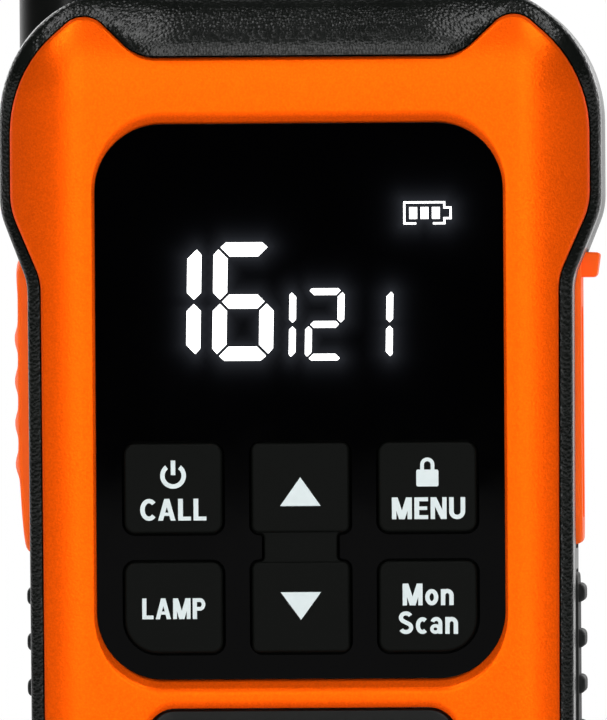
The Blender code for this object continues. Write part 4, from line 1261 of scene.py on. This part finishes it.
def make_belt_clip():
    """The clip's bracket with its two ears, and the sprung lever between them."""
    half = 9.6
    mount = pillow(rectangle(-half, half, 86.0, 104.0, 1.5), *CLIP_PLATE_Y, 0.0, 0.4)
    for side in (-1, 1):
        ear = rounded([(15.8, 93.5, 0), (21.4, 94.6, 2.4), (21.4, 101.4, 2.4), (15.8, 102.5, 0)])
        fuse(mount, pillow(ear, side * 8.0, side * half, 0.25, 0.25, "X"))
    for place in CLIP_SCREW_PLACES:
        carve(mount, rod("Y", place, SCREW_BORE, 10.0, BEHIND_BACK, 20))
    carve(mount, rod("X", CLIP_PIN, PIN_BORE, -12.0, 12.0))
    piece("clip_bracket", mount, "black_smooth", "clip_mount", angle=35.0, weighted=True)

    lever = rounded(
        [
            (20.4, 110.5, 0.7),
            (22.2, 110.5, 0.7),
            (22.5, 98.0, 20.0),
            (21.2, 60.2, 0.8),
            (16.9, 60.2, 0.6),
            (16.9, 62.2, 0.6),
            (19.2, 65.0, 2.0),
            (20.2, 92.0, 4.0),
        ],
        step=10.0,
    )
    clip = pillow(lever, -CLIP_HALF, CLIP_HALF, 0.35, 0.35, "X")
    fuse(clip, rod("X", CLIP_PIN, 2.4, -CLIP_HALF, CLIP_HALF))
    carve(clip, rod("X", CLIP_PIN, PIN_BORE, -12.0, 12.0))
    carve(clip, block((-3.4, 3.4), (10.0, 21.4), (94.4, 101.6)))
    for k in range(5):
        groove = rectangle(-5.6, 5.6, 103.3 + 1.4 * k, 103.9 + 1.4 * k, 0.28, 30.0)
        carve(clip, stack(groove, [(21.95, 0.1), (23.0, -0.3)]))
    piece("clip_lever", clip, "black_shell", "belt_clip", body="belt_clip", angle=32.0, weighted=True)


# ---- Sides ----


def talk_bulge(y, z):
    """How far the talk key's face stands out: four finger waves and a thin lower end."""
    waves = 0.0
    for crest in TALK_WAVES_Z:
        if abs(z - crest) < TALK_WAVE / 2:
            waves += 0.5 + 0.5 * math.cos(2 * math.pi * (z - crest) / TALK_WAVE)
    flank = smoothstep(0.0, 2.6, min(y - SIDE_KEY_Y[0], SIDE_KEY_Y[1] - y))
    top = smoothstep(86.2, 89.5, z)
    height = 1.22 + 0.42 * waves * flank + 0.2 * top
    thin = min(1.0, max(0.0, (TALK_THIN_Z + 2.0 - z) / (TALK_THIN_Z + 2.0 - TALK_Z[0])))
    return height * (1 - 0.45 * thin)


def make_talk_key():
    """The talk key: a soft pad with four waves for the finger, thinner towards its lower end."""
    outline = divided(rectangle(*SIDE_KEY_Y, *TALK_Z, TALK_RADIUS), 0.8)
    bm = bmesh.new()
    loops = [ring(bm, outline, -TALK_INNER, "X")]
    radius = 0.55
    for inward, fall in quarter(6):
        moved = inset(outline, 1.4 * radius * inward)
        heights = [max(0.12, talk_bulge(p.x, p.y) - radius * fall) for p in moved]
        loops.append(ring(bm, moved, [-TALK_INNER - height for height in heights], "X"))
    bands(bm, loops)
    bm.faces.new(loops[0])
    fill(bm, [loops[-1]], lambda y, z: -TALK_INNER - talk_bulge(y, z), 0.55, "X")
    piece("talk_pad", stored(bm), "signal_rubber", "ptt_key", body="ptt_key", angle=45.0)


def make_jack_cover():
    """The rubber cover over the two ports, with its pull tab at the top and its hinge at the bottom."""
    middle = sum(FLAP_X) / 2
    half = FLAP_X[1] - middle
    turns = [math.pi * (1 + k / 16) for k in range(17)]
    profile = [Vector((middle + half * math.cos(t), FLAP_Z[0] + half * math.sin(t))) for t in turns]
    top = [(FLAP_X[1], FLAP_Z[1]), (FLAP_X[1] - 0.3, FLAP_Z[1] + 0.3), (FLAP_X[0], FLAP_Z[1] - 0.6)]
    profile += [Vector(place) for place in top]
    cover = slab(profile, *SIDE_KEY_Y)
    trim = rectangle(*SIDE_KEY_Y, FLAP_Z[0] - 0.8, TAB_Z[1], (3.5, 3.5, 2.4, 2.4))
    edge = 0.45
    rings = [(25.0, 0.0), (FLAP_X[1] - edge, 0.0)] + edge_rings(FLAP_X[1] + 0.02, 1, edge, 5)[1:]
    common(cover, stack(trim, rings + [(30.0, edge - 0.01)], "X"))
    tab = rounded(
        [
            (FLAP_X[1] - 0.5, TAB_Z[0], 0),
            (TAB_X - 0.35, TAB_Z[0], 0.5),
            (TAB_X, TAB_Z[1] - 0.1, 0.3),
            (FLAP_X[1] - 0.5, TAB_Z[1], 0),
        ],
        step=15.0,
    )
    fuse(cover, pillow(tab, -1.5, 5.5, 0.2, 0.2, steps=3))
    panel = rectangle(SIDE_KEY_Y[0] + 2.2, SIDE_KEY_Y[1] - 2.2, FLAP_Z[0] + 2.0, TAB_Z[0] - 3.0, 1.8)
    carve(cover, slab(panel, FLAP_X[1] - 0.3, FLAP_X[1] + 2.0, "X"))
    fuse(cover, rod("X", (PORT_Y, JACK_Z), 1.4, 23.6, 27.2, 32))
    fuse(cover, slab(rectangle(1.0, 3.0, USB_Z - 3.4, USB_Z + 3.4, 0.9), 25.6, 27.2, "X"))
    shade = {"angle": 35.0, "weighted": True}
    piece("port_flap", cover, "signal_rubber", "jack_cover", body="jack_cover", **shade)


# ---- Top ----


def make_antenna():
    """The antenna's rubber sheath: a plain collar, three fine rings and a long slight taper."""
    rings = [(ANTENNA_BASE_Z, 0.25), (ANTENNA_BASE_Z + 0.25, 0.0), (121.5, 0.0)]
    for k in range(3):
        z = 122.0 + 2.2 * k
        rings += [(z, 0.0), (z + 0.25, 0.3), (z + 0.75, 0.3), (z + 1.0, 0.02)]
    taper_z, taper, nose, steps = 129.0, 0.9, 3.6, 8
    for k in range(1, steps + 1):
        share = k / steps
        rings.append((taper_z + (ANTENNA_TIP_Z - nose - taper_z) * share, 0.02 + taper * share))
    for k in range(1, steps + 1):
        angle = math.pi / 2 * k / (steps + 1)
        inward = taper + 0.02 + nose * (1 - math.cos(angle))
        rings.append((ANTENNA_TIP_Z - nose * (1 - math.sin(angle)), inward))
    rings.append((ANTENNA_TIP_Z, ANTENNA_RADIUS - 1.1))
    sheath = stack(circle(*ANTENNA_AXIS, ANTENNA_RADIUS, 64), rings, "Z")
    carve(sheath, rod("Z", ANTENNA_AXIS, 3.0, ANTENNA_BASE_Z - 3.0, ANTENNA_TIP_Z - 5.0, 24))
    piece("antenna_sleeve", sheath, "black_smooth", "antenna_sheath", angle=40.0)


def make_lamp():
    """The clear lens with fine concentric prisms on its outer face."""
    face = BODY_TOP + 0.2
    rings = [(115.8, 0.0), (face - 0.5, 0.0), (face - 0.15, 0.2), (face, 0.55)]
    for k in range(5):
        inward = 1.1 + 0.7 * k
        rings += [(face, inward - 0.1), (face - 0.25, inward), (face, inward + 0.35)]
    lens = stack(circle(*LAMP_AXIS, LAMP_RADIUS, 64), rings, "Z")
    piece("lamp_glass", lens, "clear", "lamp_lens", angle=25.0)


def make_battery():
    """The pack with rounded edges and a pull band."""
    half, edge, proud = BAY_HALF - GAP, 0.8, 0.05
    low, high = BAY_FLOOR + GAP, 12.4
    pack = pillow(rectangle(-half, half, 15.2, 54.7, 1.6), low, high, edge, edge)
    band_outline = rectangle(-half - proud, half + proud, 49.2, 51.8, 0.3)
    fuse(pack, pillow(band_outline, low - proud, high + proud, edge, edge))
    piece("battery_body", pack, "battery_wrap", "battery_pack", angle=35.0)


def dress_cad_nodes():
    """Gives every CAD node that still shows the material of its slot."""
    for part in frame["record"]["subparts"]:
        obj = frame["nodes"][part["node"]]
        for slot in obj.material_slots:
            slot.material = looks[part["material_slot"]]


# ---- Camera, light and floor ----


CAMERA_TARGET = (0.42, FRONT_Y, 80.04)
CAMERA_YAW, CAMERA_ROLL = 2.2, -0.37
CAMERA_DISTANCE = 1.8
VIEW_WIDTH = 0.0727  # the width in metres that the picture takes in at the target
SENSOR = 36.0


def make_camera():
    """The camera, level with the display and a little to its right."""
    yaw = math.radians(CAMERA_YAW)
    away = Vector((math.sin(yaw), -math.cos(yaw), 0.0))
    data = bpy.data.cameras.new("camera")
    data.sensor_width = SENSOR
    data.lens = SENSOR * CAMERA_DISTANCE / VIEW_WIDTH
    camera = bpy.data.objects.new("camera", data)
    camera.location = Vector(CAMERA_TARGET) * MM + away * CAMERA_DISTANCE
    camera.rotation_euler = (-away).to_track_quat("-Z", "Y").to_euler()
    camera.rotation_euler.rotate_axis("Z", math.radians(CAMERA_ROLL))
    bpy.context.scene.collection.objects.link(camera)
    bpy.context.scene.camera = camera


def softbox(name, azimuth, elevation, distance, width, height, power, aim_z):
    """An area light that faces the radio's axis from a direction given in degrees."""
    a, e = math.radians(azimuth), math.radians(elevation)
    away = Vector((math.sin(a) * math.cos(e), -math.cos(a) * math.cos(e), math.sin(e)))
    data = bpy.data.lights.new(name, "AREA")
    data.shape = "RECTANGLE"
    data.size = width
    data.size_y = height
    data.energy = power
    light = bpy.data.objects.new(name, data)
    light.location = Vector((0.0, 0.0, aim_z)) * MM + away * distance
    light.rotation_euler = (-away).to_track_quat("-Z", "Y").to_euler()
    bpy.context.scene.collection.objects.link(light)


# Pairs of softboxes: azimuth, elevation, distance, width and height in metres, watts, aim in mm
SOFTBOXES = {
    "box": (14.5, 13.0, 1.2, 0.30, 1.15, 5.6, 75.0),
    "top": (38.0, 52.0, 1.1, 0.22, 0.6, 3.5, 110.0),
    "back": (148.0, 28.0, 1.1, 0.5, 0.9, 4.0, 75.0),
}


def make_lights():
    for kind, (azimuth, *rest) in SOFTBOXES.items():
        for name, side in (("left", -1), ("right", 1)):
            softbox(f"{name}_{kind}", side * azimuth, *rest)


def make_world():
    """White behind the radio, with a softer surround for reflections that is dark in front."""
    world = bpy.data.worlds.new("studio")
    world.use_nodes = True
    bpy.context.scene.world = world
    tree = world.node_tree
    tree.nodes.clear()

    def node(kind, *values):
        """A node with values on its first inputs, each a number, a colour or another node's output."""
        made = tree.nodes.new(kind)
        for socket, value in zip(made.inputs, values):
            if isinstance(value, bpy.types.NodeSocket):
                tree.links.new(value, socket)
            else:
                socket.default_value = value
        return made

    where = node("ShaderNodeTexCoord")
    split = node("ShaderNodeSeparateXYZ", where.outputs["Generated"])
    ramp = node("ShaderNodeMapRange", split.outputs["Y"], 0.1, 0.8, 0.03, 1.0)
    ramp.interpolation_type = "SMOOTHSTEP"
    white = tint((1.0, 1.0, 1.0))
    surround = node("ShaderNodeBackground", white, ramp.outputs["Result"])
    backdrop = node("ShaderNodeBackground", white, 1.0)
    to_camera = node("ShaderNodeLightPath").outputs["Is Camera Ray"]
    mix = node("ShaderNodeMixShader", to_camera, surround.outputs[0], backdrop.outputs[0])
    node("ShaderNodeOutputWorld", mix.outputs[0])


def make_floor():
    """The pale floor, which glows a little more far from the radio, where the lights do not reach."""
    look = Look("pale_floor", (0.82, 0.82, 0.82), 0.6)
    look.mottle(60.0, 0.01)
    near = look.node("ShaderNodeTexGradient", gradient_type="SPHERICAL")
    look.set(near, "Vector", look.place((0.4, 0.4, 0.4)))
    glow = look.span(near.outputs["Fac"], 0.72, 0.32, 0.06, 0.62)
    look.feed(Emission_Color=tint((1.0, 1.0, 1.0)), Emission_Strength=glow)
    outline = rectangle(-2200.0, 2200.0, -9000.0, 780.0, 300.0)
    floor = slab(outline, -4.0, -0.02, "Z")
    floor.name = "floor"
    floor.data.materials.append(look.material)


make_front_cover()
make_front_housing()
make_display_panel()
make_keys()
make_legends()
make_grille()
make_rear_housing()
make_grips()
make_screws()
make_battery()
make_battery_door()
make_belt_clip()
make_talk_key()
make_jack_cover()
make_antenna()
make_lamp()
dress_cad_nodes()
make_floor()
make_camera()
make_lights()
make_world()
bpy.context.scene.view_settings.view_transform = "Standard"
